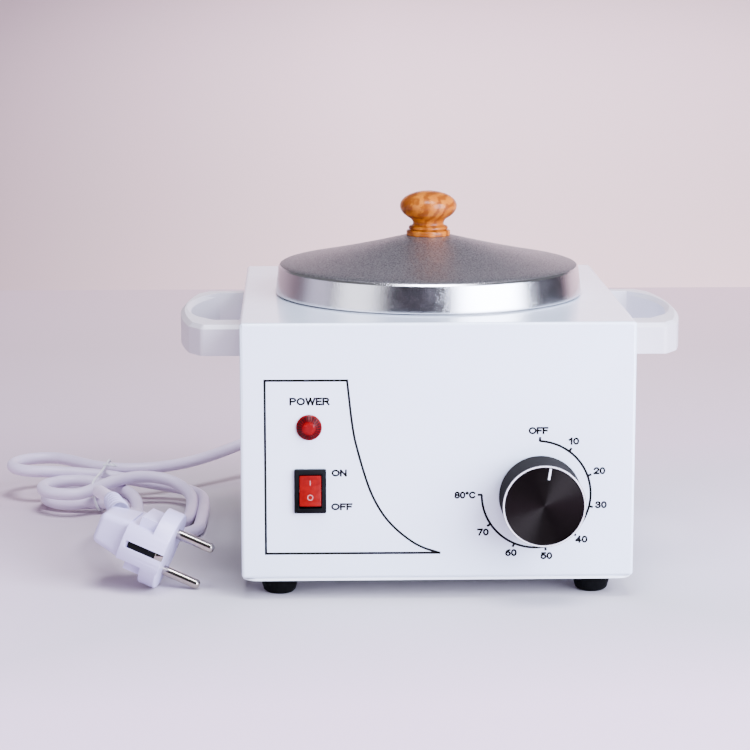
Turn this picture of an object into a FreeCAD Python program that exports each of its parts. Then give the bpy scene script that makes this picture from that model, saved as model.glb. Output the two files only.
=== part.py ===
import FreeCAD, Part
import math
import os
import Sketcher

# Single-pot wax warmer, millimetres. The origin is on the floor below the pot's axis, +Z is up and the
# front panel faces -Y. Every size below is a cell of the sheet, and every place is worked out from them.
SIZES = {
    # clearances and margins that many pieces share
    "thread_gap": 0.02, "fit_gap": 0.1, "rest_gap": 0.3, "overrun": 1.0,
    # casing
    "box_width": 184.0, "box_depth": 194.0, "box_height": 121.1, "sheet_wall": 1.0, "edge_round": 1.6,
    "lip_width": 12.0, "corner_notch": 1.1, "plate_thickness": 1.2, "plate_inset": 0.4, "plate_corner": 7.0,
    "vent_length": 34.0, "vent_width": 3.0, "vent_pitch": 9.0, "vent_offset": 22.0,
    # feet, screws and nuts
    "foot_height": 9.3, "foot_top_radius": 9.9, "foot_base_radius": 7.6, "foot_bevel": 1.3,
    "foot_inset": 17.7, "foot_bore_depth": 4.2, "head_room": 0.7, "screw_radius": 2.0,
    "screw_clearance": 0.25, "head_radius": 3.9, "head_height": 2.4, "nut_across": 7.0, "nut_height": 3.2,
    "screw_tail": 1.5,
    # handles
    "handle_height": 14.9, "handle_drop": 21.5, "handle_half": 53.0, "handle_front": 7.0, "handle_arm": 9.0,
    "handle_shoulder": 25.3, "handle_shoulder_long": 6.2, "handle_shoulder_wide": 9.6, "handle_crown": 5.6,
    "handle_hollow": 10.4, "handle_hollow_long": 3.6, "handle_hollow_wide": 3.0, "handle_hollow_bevel": 2.2,
    "handle_corner": 3.0, "handle_soften": 2.0, "handle_screw_depth": 13.0,
    # well and pot
    "well_radius": 67.5, "well_wall": 1.0, "well_depth": 67.6, "well_stand": 11.4, "well_corner": 3.0,
    "flange_width": 4.8, "flange_thickness": 0.9, "panel_gap": 0.3, "clamp_height": 6.0,
    "clamp_thickness": 4.5, "clamp_bevel": 1.0, "pot_gap": 2.6, "pot_wall": 1.4, "pot_floor_gap": 3.4,
    "pot_round": 7.0, "rim_reach": 3.2, "rim_bevel": 0.7, "rim_height": 2.4, "rim_round": 1.4,
    # lid and its knob
    "lid_overlap": 3.8, "lid_gap": 0.65, "lid_flare": 1.6, "lid_skirt": 12.75, "lid_brim": 7.0,
    "lid_brim_rise": 2.65, "lid_shoulder_bulge": 0.75, "lid_rise": 12.55, "lid_seat_radius": 11.4,
    "lid_wall": 1.2,
    "knob_base_radius": 10.85, "knob_base_height": 2.7, "knob_bead_radius": 9.3, "knob_bead_height": 2.0,
    "knob_bead_bulge": 0.75, "knob_bevel": 0.6, "knob_neck_radius": 7.5, "knob_neck_height": 4.0,
    "knob_neck_step": 0.8, "knob_flare_start": 1.4, "knob_flare_hollow": 0.65, "knob_ball_radius": 14.1,
    "knob_height": 22.0, "knob_ball_height": 14.5, "knob_ball_half": 3.3, "knob_ball_bulge": 1.6,
    "knob_crown_bulge": 0.78, "knob_top_radius": 3.5, "knob_top_rise": 0.15, "lid_washer_radius": 7.0,
    "lid_washer": 1.0, "lid_screw_length": 18.0, "lid_screw_room": 0.5,
    # heater
    "band_gap": 0.3, "band_thickness": 2.5, "band_rise": 12.0, "band_height": 34.0, "band_split": 9.0,
    "ear_thickness": 2.0, "ear_reach": 9.0, "ear_root": 1.0, "ear_hole": 4.6, "bolt_gap": 0.05,
    "bolt_tail": 4.0, "sleeve_gap": 0.2, "sleeve_thickness": 6.0, "sleeve_rise": 6.0, "sleeve_height": 48.0,
    "sleeve_slot": 36.0,
    # sensing bulb, fuse and their clips
    "bulb_radius": 3.0, "bulb_length": 62.0, "bulb_back": 14.0, "capillary_radius": 0.9,
    "fuse_radius": 2.6, "fuse_length": 26.0, "fuse_front": 14.0, "fuse_lead_radius": 0.6, "fuse_lead": 8.0,
    "clip_width": 7.0, "clip_thickness": 0.8, "clip_foot": 4.0,
    # dial and thermostat
    "dial_inset": 44.3, "dial_rise": 39.0, "dial_radius": 19.35, "dial_proud": 22.0, "dial_gap": 0.7,
    "dial_taper": 0.15, "dial_skirt": 2.0, "dial_skirt_height": 3.0, "dial_recess": 2.6, "dial_boss": 7.0,
    "dial_bevel": 0.3, "dial_shoulder": 0.3, "dial_bore_depth": 14.0,
    "cap_inset": 0.2, "cap_thickness": 1.0, "cap_bevel": 0.25, "cap_ring": 0.45, "cap_slope": 0.7,
    "cap_sink": 0.4, "pointer_width": 1.0, "pointer_length": 5.4, "pointer_inset": 0.1, "pointer_sink": 0.9,
    "pointer_angle": 8.7,
    "shaft_radius": 3.0, "shaft_gap": 0.05, "shaft_hole": 4.0, "shaft_stop": 4.0, "shaft_flat": 1.0,
    "shaft_flat_length": 12.0, "thermostat_width": 30.0, "thermostat_depth": 17.0,
    "thermostat_screw_pitch": 25.0, "thermostat_ear": 5.0, "thermostat_ear_thickness": 1.0,
    "thermostat_ear_height": 12.0, "thermostat_tap": 8.0, "thermostat_screw": 7.0,
    "thermostat_head_radius": 3.3, "thermostat_head": 1.4,
    # lamp
    "lamp_inset": 31.85, "lamp_rise": 72.3, "lamp_radius": 6.0, "lamp_proud": 3.4, "lamp_rim": 1.0,
    "lamp_bevel": 1.6, "lamp_dome": 0.5, "lamp_neck": 4.6, "lamp_skin": 1.15, "lamp_plug": 3.0,
    "lamp_depth": 22.0, "lamp_tab_length": 8.0, "lamp_tab_width": 1.0, "lamp_tab_height": 3.0,
    "lamp_tab_offset": 2.2, "lamp_clip_radius": 7.6, "lamp_clip_thickness": 1.2,
    # rocker switch
    "switch_inset": 32.3, "switch_rise": 42.1, "bezel_width": 15.0, "bezel_height": 21.0,
    "bezel_proud": 2.0, "bezel_round": 0.7, "bezel_side": 2.2, "bezel_end": 2.5, "bezel_lip": 1.1,
    "switch_depth": 19.0, "window_depth": 9.0, "rocker_gap": 0.25, "rocker_end": 0.5, "rocker_proud": 3.3,
    "rocker_pin_radius": 1.2, "rocker_pin_sink": 2.4, "rocker_pin_seat": 0.8, "rocker_swell": 0.56,
    "rocker_shoulder": 0.6, "rocker_belly": 2.2, "rocker_belly_half": 1.6, "rocker_cheek": 2.6,
    "rocker_angle": -6.0, "tab_length": 8.0, "tab_pitch": 10.0, "tab_width": 4.8, "tab_thickness": 0.8,
    # terminal block and earth
    "block_across": -40.0, "block_inset": 35.0, "block_width": 30.0, "block_depth": 16.0,
    "block_height": 14.0, "block_screw_radius": 2.2, "block_screw_depth": 4.0, "block_screw_length": 3.0,
    "block_screw_offset": 4.0, "block_bore_gap": 0.4, "block_pole_pitch": 9.0, "earth_side": 38.0,
    "earth_inset": 36.0, "tag_thickness": 0.8, "tag_radius": 4.5, "tag_length": 14.0, "tag_width": 4.0,
    "stud_length": 14.0, "stud_head": 1.6,
    # inside wires
    "wire_radius": 1.1, "wire_run": 12.0, "wire_drop": 17.0, "wire_spade": 8.0, "lamp_wire_radius": 0.88,
    "lamp_wire_run": 4.0, "lamp_wire_spread": 3.4,
    # cord, gland, hank and tie
    "cord_radius": 3.2, "gland_across": -40.0, "gland_rise": 25.5, "gland_flange_radius": 8.0,
    "gland_flange": 2.2, "gland_bevel": 0.6, "gland_neck_radius": 5.5, "gland_barb": 1.4,
    "relief_length": 19.8, "relief_tip_radius": 4.2, "relief_root_radius": 5.6, "hank_base": 0.05,
    "hank_height": 20.6, "tie_radius": 0.9, "tie_groove": 0.2,
    # plug
    "plug_radius": 19.0, "plug_face_depth": 8.4, "plug_face_bevel": 0.6, "plug_neck_half": 8.6,
    "plug_neck_depth": 21.0, "plug_core_half": 13.4, "plug_core_side": 11.5, "plug_core_depth": 17.0,
    "plug_grip_half": 9.4, "plug_grip_side": 15.0, "plug_grip_depth": 36.0, "plug_grip_round": 3.4,
    "plug_tip_half": 7.6, "plug_tip_side": 11.0,
    "pin_radius": 2.4, "pin_length": 19.0, "pin_tip": 1.92, "pin_root_radius": 1.9, "pin_pitch": 19.0,
    "pin_hold": 12.0, "clip_strip_width": 3.4, "clip_strip_length": 19.0, "clip_strip_thickness": 0.8,
    "clip_strip_sink": 1.4, "plug_relief_root": 4.8, "plug_relief_tip": 3.7, "plug_relief_across": 6.0,
    "plug_relief_side": 8.0, "plug_relief_sink": 5.0,
}
VENT_ROWS = 5
POLES = (-1, 0, 1)
SIDES = (-1, 1)
QUARTER = 1 - math.sqrt(0.5)      # a quarter turn's rise over its chord, as a share of its radius

doc = FreeCAD.newDocument("WaxWarmer")
sheet = doc.addObject("Spreadsheet::Sheet", "Sizes")
for row, (cell_name, cell_value) in enumerate(SIZES.items(), start=1):
    sheet.set("A%d" % row, cell_name)
    sheet.set("B%d" % row, str(cell_value))
    sheet.setAlias("B%d" % row, cell_name)
doc.recompute()


class Size(float):
    """A length that knows its formula in the sheet, so one line both places a piece and binds it."""

    def __new__(cls, value, formula):
        number = super().__new__(cls, value)
        number.formula = formula
        return number

    def __add__(self, other):
        return Size(float(self) + float(other), "(%s + %s)" % (formula(self), formula(other)))

    def __radd__(self, other):
        return Size(float(other) + float(self), "(%s + %s)" % (formula(other), formula(self)))

    def __sub__(self, other):
        return Size(float(self) - float(other), "(%s - %s)" % (formula(self), formula(other)))

    def __rsub__(self, other):
        return Size(float(other) - float(self), "(%s - %s)" % (formula(other), formula(self)))

    def __mul__(self, other):
        return Size(float(self) * float(other), "(%s * %s)" % (formula(self), formula(other)))

    __rmul__ = __mul__

    def __truediv__(self, other):
        return Size(float(self) / float(other), "(%s / %s)" % (formula(self), formula(other)))

    def __neg__(self):
        return Size(-float(self), "(0 - %s)" % formula(self))


def formula(value):
    return value.formula if isinstance(value, Size) else repr(float(value))


def size(name):
    return Size(float(sheet.get(name)), "Sizes.%s" % name)


def point(x, y, z):
    return FreeCAD.Vector(float(x), float(y), float(z))


# ---------------------------------------------------------------- placing and binding
nodes = {}


def keep(node, item):
    """Names a finished sub-part; its Label is its file's name."""
    item.Label = node
    nodes[node] = item
    return item


def bind(item, **values):
    for name, value in values.items():
        if isinstance(value, Size):
            item.setExpression(name, value.formula)
        else:
            setattr(item, name, value)


def place(item, x=0.0, y=0.0, z=0.0, axis=(0, 0, 1), angle=0.0):
    """Sets the placement and binds its three lengths."""
    turn = FreeCAD.Rotation(FreeCAD.Vector(*axis), float(angle))
    item.Placement = FreeCAD.Placement(point(x, y, z), turn)
    for letter, value in (("x", x), ("y", y), ("z", z)):
        if isinstance(value, Size):
            item.setExpression("Placement.Base.%s" % letter, value.formula)


# ---------------------------------------------------------------- PartDesign helpers
def new_body(node, x=0.0, y=0.0, z=0.0, axis=(0, 0, 1), angle=0.0):
    body = doc.addObject("PartDesign::Body", node)
    place(body, x, y, z, axis, angle)
    return keep(node, body)


def origin_plane(body, role):
    return [plane for plane in body.Origin.OriginFeatures if plane.Role == role][0]


def new_sketch(body, role, lift=0.0):
    """A sketch on one of the body's own origin planes, lifted along that plane's normal."""
    sketch = body.newObject("Sketcher::SketchObject", body.Name + "_sketch")
    sketch.AttachmentSupport = [(origin_plane(body, role), "")]
    sketch.MapMode = "FlatFace"
    sketch.AttachmentOffset = FreeCAD.Placement(point(0, 0, lift), FreeCAD.Rotation())
    if isinstance(lift, Size):
        sketch.setExpression("AttachmentOffset.Base.z", lift.formula)
    return sketch


def pin_down(sketch, geometry, end, across, up):
    """Fixes a sketch point at (across, up) from the sketch's origin."""
    for kind, value, axis in (("DistanceX", across, -2), ("DistanceY", up, -1)):
        if isinstance(value, Size):
            index = sketch.addConstraint(Sketcher.Constraint(kind, -1, 1, geometry, end, float(value)))
            sketch.setExpression("Constraints[%d]" % index, value.formula)
        elif float(value) == 0.0:
            sketch.addConstraint(Sketcher.Constraint("PointOnObject", geometry, end, axis))
        else:
            sketch.addConstraint(Sketcher.Constraint(kind, -1, 1, geometry, end, float(value)))


def draw_circle(sketch, radius, across=0.0, up=0.0):
    geometry = sketch.addGeometry(Part.Circle(point(across, up, 0), point(0, 0, 1), float(radius)))
    pin_down(sketch, geometry, 3, across, up)
    index = sketch.addConstraint(Sketcher.Constraint("Radius", geometry, float(radius)))
    if isinstance(radius, Size):
        sketch.setExpression("Constraints[%d]" % index, radius.formula)


def draw_outline(sketch, corners):
    """A closed outline. A corner is (across, up), or (across, up, rise, side) where the edge to the next
    corner is an arc that rises so far over its chord, to the left of the way there where side is 1 and
    to the right where it is -1."""
    spots = [point(corner[0], corner[1], 0) for corner in corners]
    count = len(corners)
    edges = []
    for index, corner in enumerate(corners):
        start = spots[index]
        end = spots[(index + 1) % count]
        if len(corner) == 2:
            edges.append(sketch.addGeometry(Part.LineSegment(start, end)))
            continue
        way = end - start
        left = FreeCAD.Vector(-way.y, way.x, 0).normalize()
        middle = (start + end) * 0.5 + left * (float(corner[2]) * corner[3])
        circle = Part.Arc(start, middle, end).toShape().Curve
        arc = Part.ArcOfCircle(circle, *sorted((circle.parameter(start), circle.parameter(end))))
        edges.append(sketch.addGeometry(arc))
    for index, corner in enumerate(corners):
        edge = edges[index]
        head = end_at(sketch, edge, spots[index])
        pin_down(sketch, edge, head, corner[0], corner[1])
        other = edges[(index + 1) % count]
        joint = end_at(sketch, other, spots[(index + 1) % count])
        sketch.addConstraint(Sketcher.Constraint("Coincident", edge, 3 - head, other, joint))
        if len(corner) == 4:
            across = corners[(index + 1) % count][0] - corner[0]
            up = corners[(index + 1) % count][1] - corner[1]
            radius = (across * across + up * up) / (corner[2] * 8) + corner[2] / 2
            number = sketch.addConstraint(Sketcher.Constraint("Radius", edge, float(radius)))
            if isinstance(radius, Size):
                sketch.setExpression("Constraints[%d]" % number, radius.formula)


def end_at(sketch, edge, spot):
    """The number of the edge's end that lies on the spot."""
    return 1 if sketch.getPoint(edge, 1).distanceToPoint(spot) < 1e-6 else 2


def draw_rectangle(sketch, width, height, across=0.0, up=0.0):
    left = across - width / 2
    right = across + width / 2
    low = up - height / 2
    high = up + height / 2
    draw_outline(sketch, [(left, low), (right, low), (right, high), (left, high)])


def pad(body, sketch, length, back=False):
    feature = body.newObject("PartDesign::Pad", body.Name + "_pad")
    feature.Profile = sketch
    feature.Reversed = back
    bind(feature, Length=length)
    return finish(body, feature, sketch)


def pocket(body, sketch, length, back=False, both=False):
    """Cuts along the sketch's normal reversed, or along it when back is set."""
    before = body.Shape.Volume
    feature = body.newObject("PartDesign::Pocket", body.Name + "_pocket")
    feature.Profile = sketch
    feature.Reversed = back
    if both:
        feature.SideType = "Symmetric"
    bind(feature, Length=length)
    finish(body, feature, sketch)
    if body.Shape.Volume > before - 1e-6:
        raise RuntimeError("%s: a pocket cuts nothing" % body.Label)
    return feature


def finish(body, feature, sketch=None):
    if sketch is not None:
        sketch.Visibility = False
    body.Tip = feature
    doc.recompute()
    return feature


def revolve(body, corners):
    """Turns an outline of (radius, height) corners once round the body's Z axis."""
    sketch = new_sketch(body, "XZ_Plane")
    draw_outline(sketch, corners)
    feature = body.newObject("PartDesign::Revolution", body.Name + "_revolution")
    feature.Profile = sketch
    feature.ReferenceAxis = (sketch, ["V_Axis"])
    feature.Angle = 360.0
    return finish(body, feature, sketch)


def edges_where(shape, test):
    return ["Edge%d" % number for number, edge in enumerate(shape.Edges, start=1) if test(edge)]


def round_edges(body, radius, test, kind="PartDesign::Fillet"):
    base = body.Tip
    names = edges_where(base.Shape, test)
    if not names:
        raise RuntimeError("%s: no edge to round" % body.Label)
    feature = body.newObject(kind, body.Name + "_edge")
    feature.Base = (base, names)
    bind(feature, **{"Radius" if kind.endswith("Fillet") else "Size": radius})
    return finish(body, feature)


def copies_along(body, feature, direction, length, count):
    pattern = body.newObject("PartDesign::LinearPattern", body.Name + "_row")
    pattern.Originals = [feature]
    pattern.Direction = direction
    pattern.Occurrences = count
    bind(pattern, Length=length)
    return finish(body, pattern)


# ---------------------------------------------------------------- Part helpers
def box(width, depth, height, x, y, z):
    """A block centred on x and y that stands on z."""
    item = doc.addObject("Part::Box", "block")
    bind(item, Length=width, Width=depth, Height=height)
    place(item, x - width / 2, y - depth / 2, z)
    return item


def cylinder(radius, height, x=0.0, y=0.0, z=0.0, axis=(0, 0, 1), angle=0.0):
    item = doc.addObject("Part::Cylinder", "round")
    bind(item, Radius=radius, Height=height)
    place(item, x, y, z, axis, angle)
    return item


def hexagon(across_flats, height, x, y, z):
    item = doc.addObject("Part::Prism", "hexagon")
    item.Polygon = 6
    bind(item, Circumradius=across_flats / math.sqrt(3.0), Height=height)
    place(item, x, y, z)
    return item


def fuse(*items):
    item = doc.addObject("Part::MultiFuse", "joined")
    item.Shapes = list(items)
    item.Refine = True
    return item


def cut(base, *tools):
    item = doc.addObject("Part::Cut", "hollowed")
    item.Base = base
    item.Tool = tools[0] if len(tools) == 1 else fuse(*tools)
    return item


def group(node, items):
    item = doc.addObject("Part::Compound", node)
    item.Links = list(items)
    return keep(node, item)


def shaped(node, shape):
    """A piece whose form no sketch or primitive fits; its numbers come from the sheet."""
    item = doc.addObject("Part::Feature", node)
    item.Shape = shape
    return keep(node, item)


# ---------------------------------------------------------------- shared places
wall = size("sheet_wall")
overrun = size("overrun")
fit_gap = size("fit_gap")
shell_bottom = size("foot_height") + size("plate_thickness")
panel_top = shell_bottom + size("box_height")
lip_top = shell_bottom + wall
half_width = size("box_width") / 2
half_depth = size("box_depth") / 2
front = -half_depth
rear = half_depth
panel_inside = front + wall
foot_across = half_width - size("foot_inset")
foot_back = half_depth - size("foot_inset")
FOOT_SPOTS = {
    "front_left": (-foot_across, -foot_back), "front_right": (foot_across, -foot_back),
    "rear_left": (-foot_across, foot_back), "rear_right": (foot_across, foot_back),
}
screw = size("screw_radius")
screw_hole = screw + size("screw_clearance")
thread = screw + size("thread_gap")
handle_bottom = panel_top - size("handle_drop")
handle_screw_back = size("handle_half") - size("handle_arm") / 2
handle_middle = handle_bottom + size("handle_height") / 2
well_hole = size("well_radius") + size("panel_gap")
thermostat_hole = size("thermostat_screw_pitch") / 2
dial_x = half_width - size("dial_inset")
dial_z = shell_bottom + size("dial_rise")
lamp_x = size("lamp_inset") - half_width
lamp_z = shell_bottom + size("lamp_rise")
switch_x = size("switch_inset") - half_width
switch_z = shell_bottom + size("switch_rise")
switch_wide = size("bezel_width") - size("bezel_lip") * 2
switch_tall = size("bezel_height") - size("bezel_lip") * 2
gland_x = size("gland_across")
gland_z = shell_bottom + size("gland_rise")
earth_x = half_width - size("earth_side")
earth_y = rear - size("earth_inset")
FACING_FRONT = ((1, 0, 0), 90.0)      # turns a part's +Z to the front, -Y
FACING_REAR = ((1, 0, 0), -90.0)
FACING_RIGHT = ((0, 1, 0), 90.0)
FACING_LEFT = ((0, 1, 0), -90.0)


# ---------------------------------------------------------------- casing
def housing_shell():
    body = new_body("housing_shell", z=shell_bottom)
    outline = new_sketch(body, "XY_Plane")
    draw_rectangle(outline, size("box_width"), size("box_depth"))
    pad(body, outline, size("box_height"))
    round_edges(body, size("edge_round"), lambda edge: True)

    inside = new_sketch(body, "XY_Plane", lift=wall)
    draw_rectangle(inside, size("box_width") - wall * 2, size("box_depth") - wall * 2)
    pocket(body, inside, size("box_height") - wall * 2, back=True)

    opening = new_sketch(body, "XY_Plane")
    lips = (wall + size("lip_width")) * 2
    draw_rectangle(opening, size("box_width") - lips, size("box_depth") - lips)
    pocket(body, opening, wall, back=True)

    well = new_sketch(body, "XY_Plane", lift=size("box_height"))
    draw_circle(well, well_hole)
    pocket(body, well, wall)

    notches = new_sketch(body, "XY_Plane", lift=size("box_height"))
    for across in (-half_width, half_width):
        for back in (front, rear):
            draw_circle(notches, size("corner_notch"), across, back)
    pocket(body, notches, size("edge_round"))

    panel = new_sketch(body, "XZ_Plane")
    draw_circle(panel, size("lamp_neck") + fit_gap, lamp_x, size("lamp_rise"))
    draw_rectangle(panel, switch_wide + fit_gap * 2, switch_tall + fit_gap * 2, switch_x,
                   size("switch_rise"))
    draw_circle(panel, size("shaft_hole"), dial_x, size("dial_rise"))
    for side in SIDES:
        draw_circle(panel, screw_hole, dial_x + thermostat_hole * side, size("dial_rise"))
    pocket(body, panel, half_depth + overrun, back=True)

    back_panel = new_sketch(body, "XZ_Plane")
    draw_circle(back_panel, size("gland_neck_radius"), gland_x, size("gland_rise"))
    pocket(body, back_panel, half_depth + overrun)

    sides = new_sketch(body, "YZ_Plane")
    for back in (-handle_screw_back, handle_screw_back):
        draw_circle(sides, screw_hole, back, handle_middle - shell_bottom)
    pocket(body, sides, size("box_width") + overrun * 2, both=True)

    lip_holes = new_sketch(body, "XY_Plane")
    for across, back in FOOT_SPOTS.values():
        draw_circle(lip_holes, screw_hole, across, back)
    ears = new_sketch(body, "XY_Plane")
    for across, back in FOOT_SPOTS.values():
        draw_circle(ears, size("foot_inset") - wall, across, back)
    pad(body, ears, wall)
    pocket(body, lip_holes, wall, back=True)


def base_plate():
    body = new_body("base_plate", z=size("foot_height"))
    outline = new_sketch(body, "XY_Plane")
    inset = size("plate_inset") * 2
    draw_rectangle(outline, size("box_width") - inset, size("box_depth") - inset)
    pad(body, outline, size("plate_thickness"))
    round_edges(body, size("plate_corner"), is_upright)
    holes = new_sketch(body, "XY_Plane")
    for across, back in FOOT_SPOTS.values():
        draw_circle(holes, screw_hole, across, back)
    draw_circle(holes, screw_hole, earth_x, earth_y)
    pocket(body, holes, size("plate_thickness"), back=True)
    row_span = size("vent_pitch") * (VENT_ROWS - 1)
    for side in SIDES:
        slot = new_sketch(body, "XY_Plane")
        draw_rectangle(slot, size("vent_length"), size("vent_width"), size("vent_offset") * side,
                       -row_span / 2)
        first = pocket(body, slot, size("plate_thickness"), back=True)
        copies_along(body, first, (slot, ["V_Axis"]), row_span, VENT_ROWS)


def is_upright(edge):
    ends = [vertex.Point for vertex in edge.Vertexes]
    return len(ends) == 2 and abs(ends[0].x - ends[1].x) < 1e-6 and abs(ends[0].y - ends[1].y) < 1e-6


def foot(node, across, back):
    body = new_body(node, across, back)
    bore = size("head_radius") + size("head_room")
    tall = size("foot_height")
    revolve(body, [(bore, 0.0), (size("foot_base_radius") - size("foot_bevel"), 0.0),
                   (size("foot_base_radius"), size("foot_bevel")), (size("foot_top_radius"), tall),
                   (screw_hole, tall), (screw_hole, size("foot_bore_depth")),
                   (bore, size("foot_bore_depth"))])


def foot_fasteners():
    screws = []
    nuts = []
    length = lip_top + size("nut_height") + size("screw_tail") - size("foot_bore_depth")
    for across, back in FOOT_SPOTS.values():
        head = cylinder(size("head_radius"), size("head_height"), across, back,
                        size("foot_bore_depth") - size("head_height"))
        shank = cylinder(screw, length, across, back, size("foot_bore_depth"))
        screws.append(fuse(head, shank))
        blank = hexagon(size("nut_across"), size("nut_height"), across, back, lip_top)
        nuts.append(cut(blank, cylinder(thread, size("nut_height"), across, back, lip_top)))
    group("foot_screws", screws)
    group("foot_nuts", nuts)


# ---------------------------------------------------------------- handles
def handle(node, side):
    """A D loop with straight arms and a bowed grip, drawn in plan from the side wall outwards.

    Its front arm is the deeper one, and the left handle's plan is turned half round."""
    body = new_body(node, half_width * side, 0.0, handle_bottom,
                    angle=0.0 if side > 0 else 180.0)
    half = size("handle_half")
    deep = half + size("handle_front")
    low, high = (deep, half) if side > 0 else (half, deep)
    arm_end = size("handle_shoulder") - size("handle_shoulder_long")
    shoulder = size("handle_shoulder")
    setback = size("handle_shoulder_wide")
    inner = half - size("handle_arm")
    hollow_end = arm_end - size("handle_hollow_long")
    hollow_half = inner - size("handle_hollow_wide")
    bevel_end = hollow_end - size("handle_hollow_bevel")
    outline = new_sketch(body, "XY_Plane")
    draw_outline(outline, [
        (0.0, -low), (arm_end, -low), (shoulder, setback - low, size("handle_crown"), -1),
        (shoulder, high - setback), (arm_end, high), (0.0, high), (0.0, inner),
        (bevel_end, inner), (hollow_end, hollow_half, size("handle_hollow"), 1),
        (hollow_end, -hollow_half), (bevel_end, -inner), (0.0, -inner)])
    pad(body, outline, size("handle_height"))
    round_edges(body, size("handle_corner"), lambda edge: is_upright(edge) and outside_of_handle(edge))
    round_edges(body, size("handle_soften"), is_high_outer_edge, "PartDesign::Chamfer")
    bores = new_sketch(body, "YZ_Plane")
    for back in (-handle_screw_back, handle_screw_back):
        draw_circle(bores, thread, back, size("handle_height") / 2)
    pocket(body, bores, size("handle_screw_depth"), back=True)


def outside_of_handle(edge):
    """Whether an edge lies on the outside of a handle, away from the wall."""
    middle = edge.valueAt((edge.FirstParameter + edge.LastParameter) / 2)
    beyond_arm = abs(middle.y) > float(size("handle_half") - size("handle_arm") / 2)
    beyond_grip = middle.x > float(size("handle_shoulder") - size("handle_hollow_long") / 2)
    return middle.x > 1e-3 and (beyond_arm or beyond_grip)


def is_high_outer_edge(edge):
    extent = edge.BoundBox
    top = abs(extent.ZMax - float(size("handle_height"))) < 1e-6 and extent.ZLength < 1e-6
    return top and outside_of_handle(edge)


def handle_screws():
    items = []
    for side, outwards, inwards in ((-1, FACING_LEFT, FACING_RIGHT), (1, FACING_RIGHT, FACING_LEFT)):
        inner = (half_width - wall) * side
        for back in (-handle_screw_back, handle_screw_back):
            shank = cylinder(screw, size("handle_screw_depth"), inner, back, handle_middle, *outwards)
            head = cylinder(size("head_radius"), size("head_height"), inner, back, handle_middle, *inwards)
            items.append(fuse(head, shank))
    group("handle_screws", items)


# ---------------------------------------------------------------- well, heater and pot
well_outer = size("well_radius")
well_inner = well_outer - size("well_wall")
well_floor = panel_top - size("well_depth")
well_inside_floor = well_floor + size("well_wall")
well_rim = panel_top + size("well_stand")
flange_radius = well_outer + size("flange_width")
pot_outer = well_inner - size("pot_gap")
pot_inner = pot_outer - size("pot_wall")
pot_bottom = well_inside_floor + size("pot_floor_gap")
rim_bottom = well_rim + size("rest_gap")
rim_top = rim_bottom + size("rim_height")
rim_radius = well_outer + size("rim_reach")
band_bottom = well_floor + size("band_rise")
band_inner = well_outer + size("band_gap")
band_outer = band_inner + size("band_thickness")
bolt_back = band_outer + size("ear_hole")


def heater_well():
    body = new_body("heater_well")
    flange_top = panel_top + size("flange_thickness")
    corner = size("well_corner")
    inside_corner = corner - size("well_wall")
    revolve(body, [
        (0.0, well_floor), (well_outer - corner, well_floor), (well_outer, well_floor + corner),
        (well_outer, panel_top), (flange_radius, panel_top), (flange_radius, flange_top),
        (well_outer, flange_top), (well_outer, well_rim), (well_inner, well_rim),
        (well_inner, well_inside_floor + inside_corner), (well_inner - inside_corner, well_inside_floor),
        (0.0, well_inside_floor)])


def well_clamp_ring():
    body = new_body("well_clamp_ring")
    underside = panel_top - wall
    low = underside - size("clamp_height")
    inner = well_outer + size("thread_gap")
    outer = well_outer + size("clamp_thickness")
    bevel = size("clamp_bevel")
    revolve(body, [(inner, low), (outer - bevel, low), (outer, low + bevel), (outer, underside),
                   (inner, underside)])


def wax_pot():
    body = new_body("wax_pot")
    turn = size("pot_round")
    rim_turn = size("rim_round")
    bevel = size("rim_bevel")
    inside_floor = pot_bottom + size("pot_wall")
    inside_turn = turn - size("pot_wall")
    revolve(body, [
        (0.0, pot_bottom), (pot_outer - turn, pot_bottom, turn * QUARTER, -1),
        (pot_outer, pot_bottom + turn), (pot_outer, rim_bottom), (rim_radius - bevel, rim_bottom),
        (rim_radius, rim_bottom + bevel), (rim_radius, rim_top - rim_turn, rim_turn * QUARTER, -1),
        (rim_radius - rim_turn, rim_top), (pot_inner + rim_turn, rim_top, rim_turn * QUARTER, -1),
        (pot_inner, rim_top - rim_turn),
        (pot_inner, inside_floor + inside_turn, inside_turn * QUARTER, 1),
        (pot_inner - inside_turn, inside_floor), (0.0, inside_floor)])


def heater_band():
    """A mica band with a split at the back, where its two ears are pulled together."""
    tall = size("band_height")
    split = size("band_split")
    ring = cylinder(band_outer, tall, z=band_bottom)
    hollow = cylinder(band_inner, tall, z=band_bottom)
    slit = box(split, band_outer * 2, tall, 0.0, band_outer, band_bottom)
    thick = size("ear_thickness")
    reach = size("ear_reach")
    ear_x = split / 2 + thick / 2
    ear_y = band_outer - size("ear_root") + reach / 2
    ears = [box(thick, reach, tall, ear_x * side, ear_y, band_bottom) for side in SIDES]
    width = split + thick * 2
    holes = cylinder(screw, width, -width / 2, bolt_back, band_bottom + tall / 2, *FACING_RIGHT)
    keep("heater_band", cut(fuse(cut(ring, hollow, slit), *ears), holes))


def band_bolt():
    level = band_bottom + size("band_height") / 2
    outside = size("band_split") / 2 + size("ear_thickness")
    shank = cylinder(screw - size("bolt_gap"), outside * 2 + size("bolt_tail"), -outside, bolt_back, level,
                     *FACING_RIGHT)
    head = cylinder(size("head_radius"), size("head_height"), -outside, bolt_back, level, *FACING_LEFT)
    nut = cylinder(size("head_radius"), size("nut_height"), outside, bolt_back, level, *FACING_RIGHT)
    keep("band_bolt", fuse(shank, head, nut))


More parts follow.
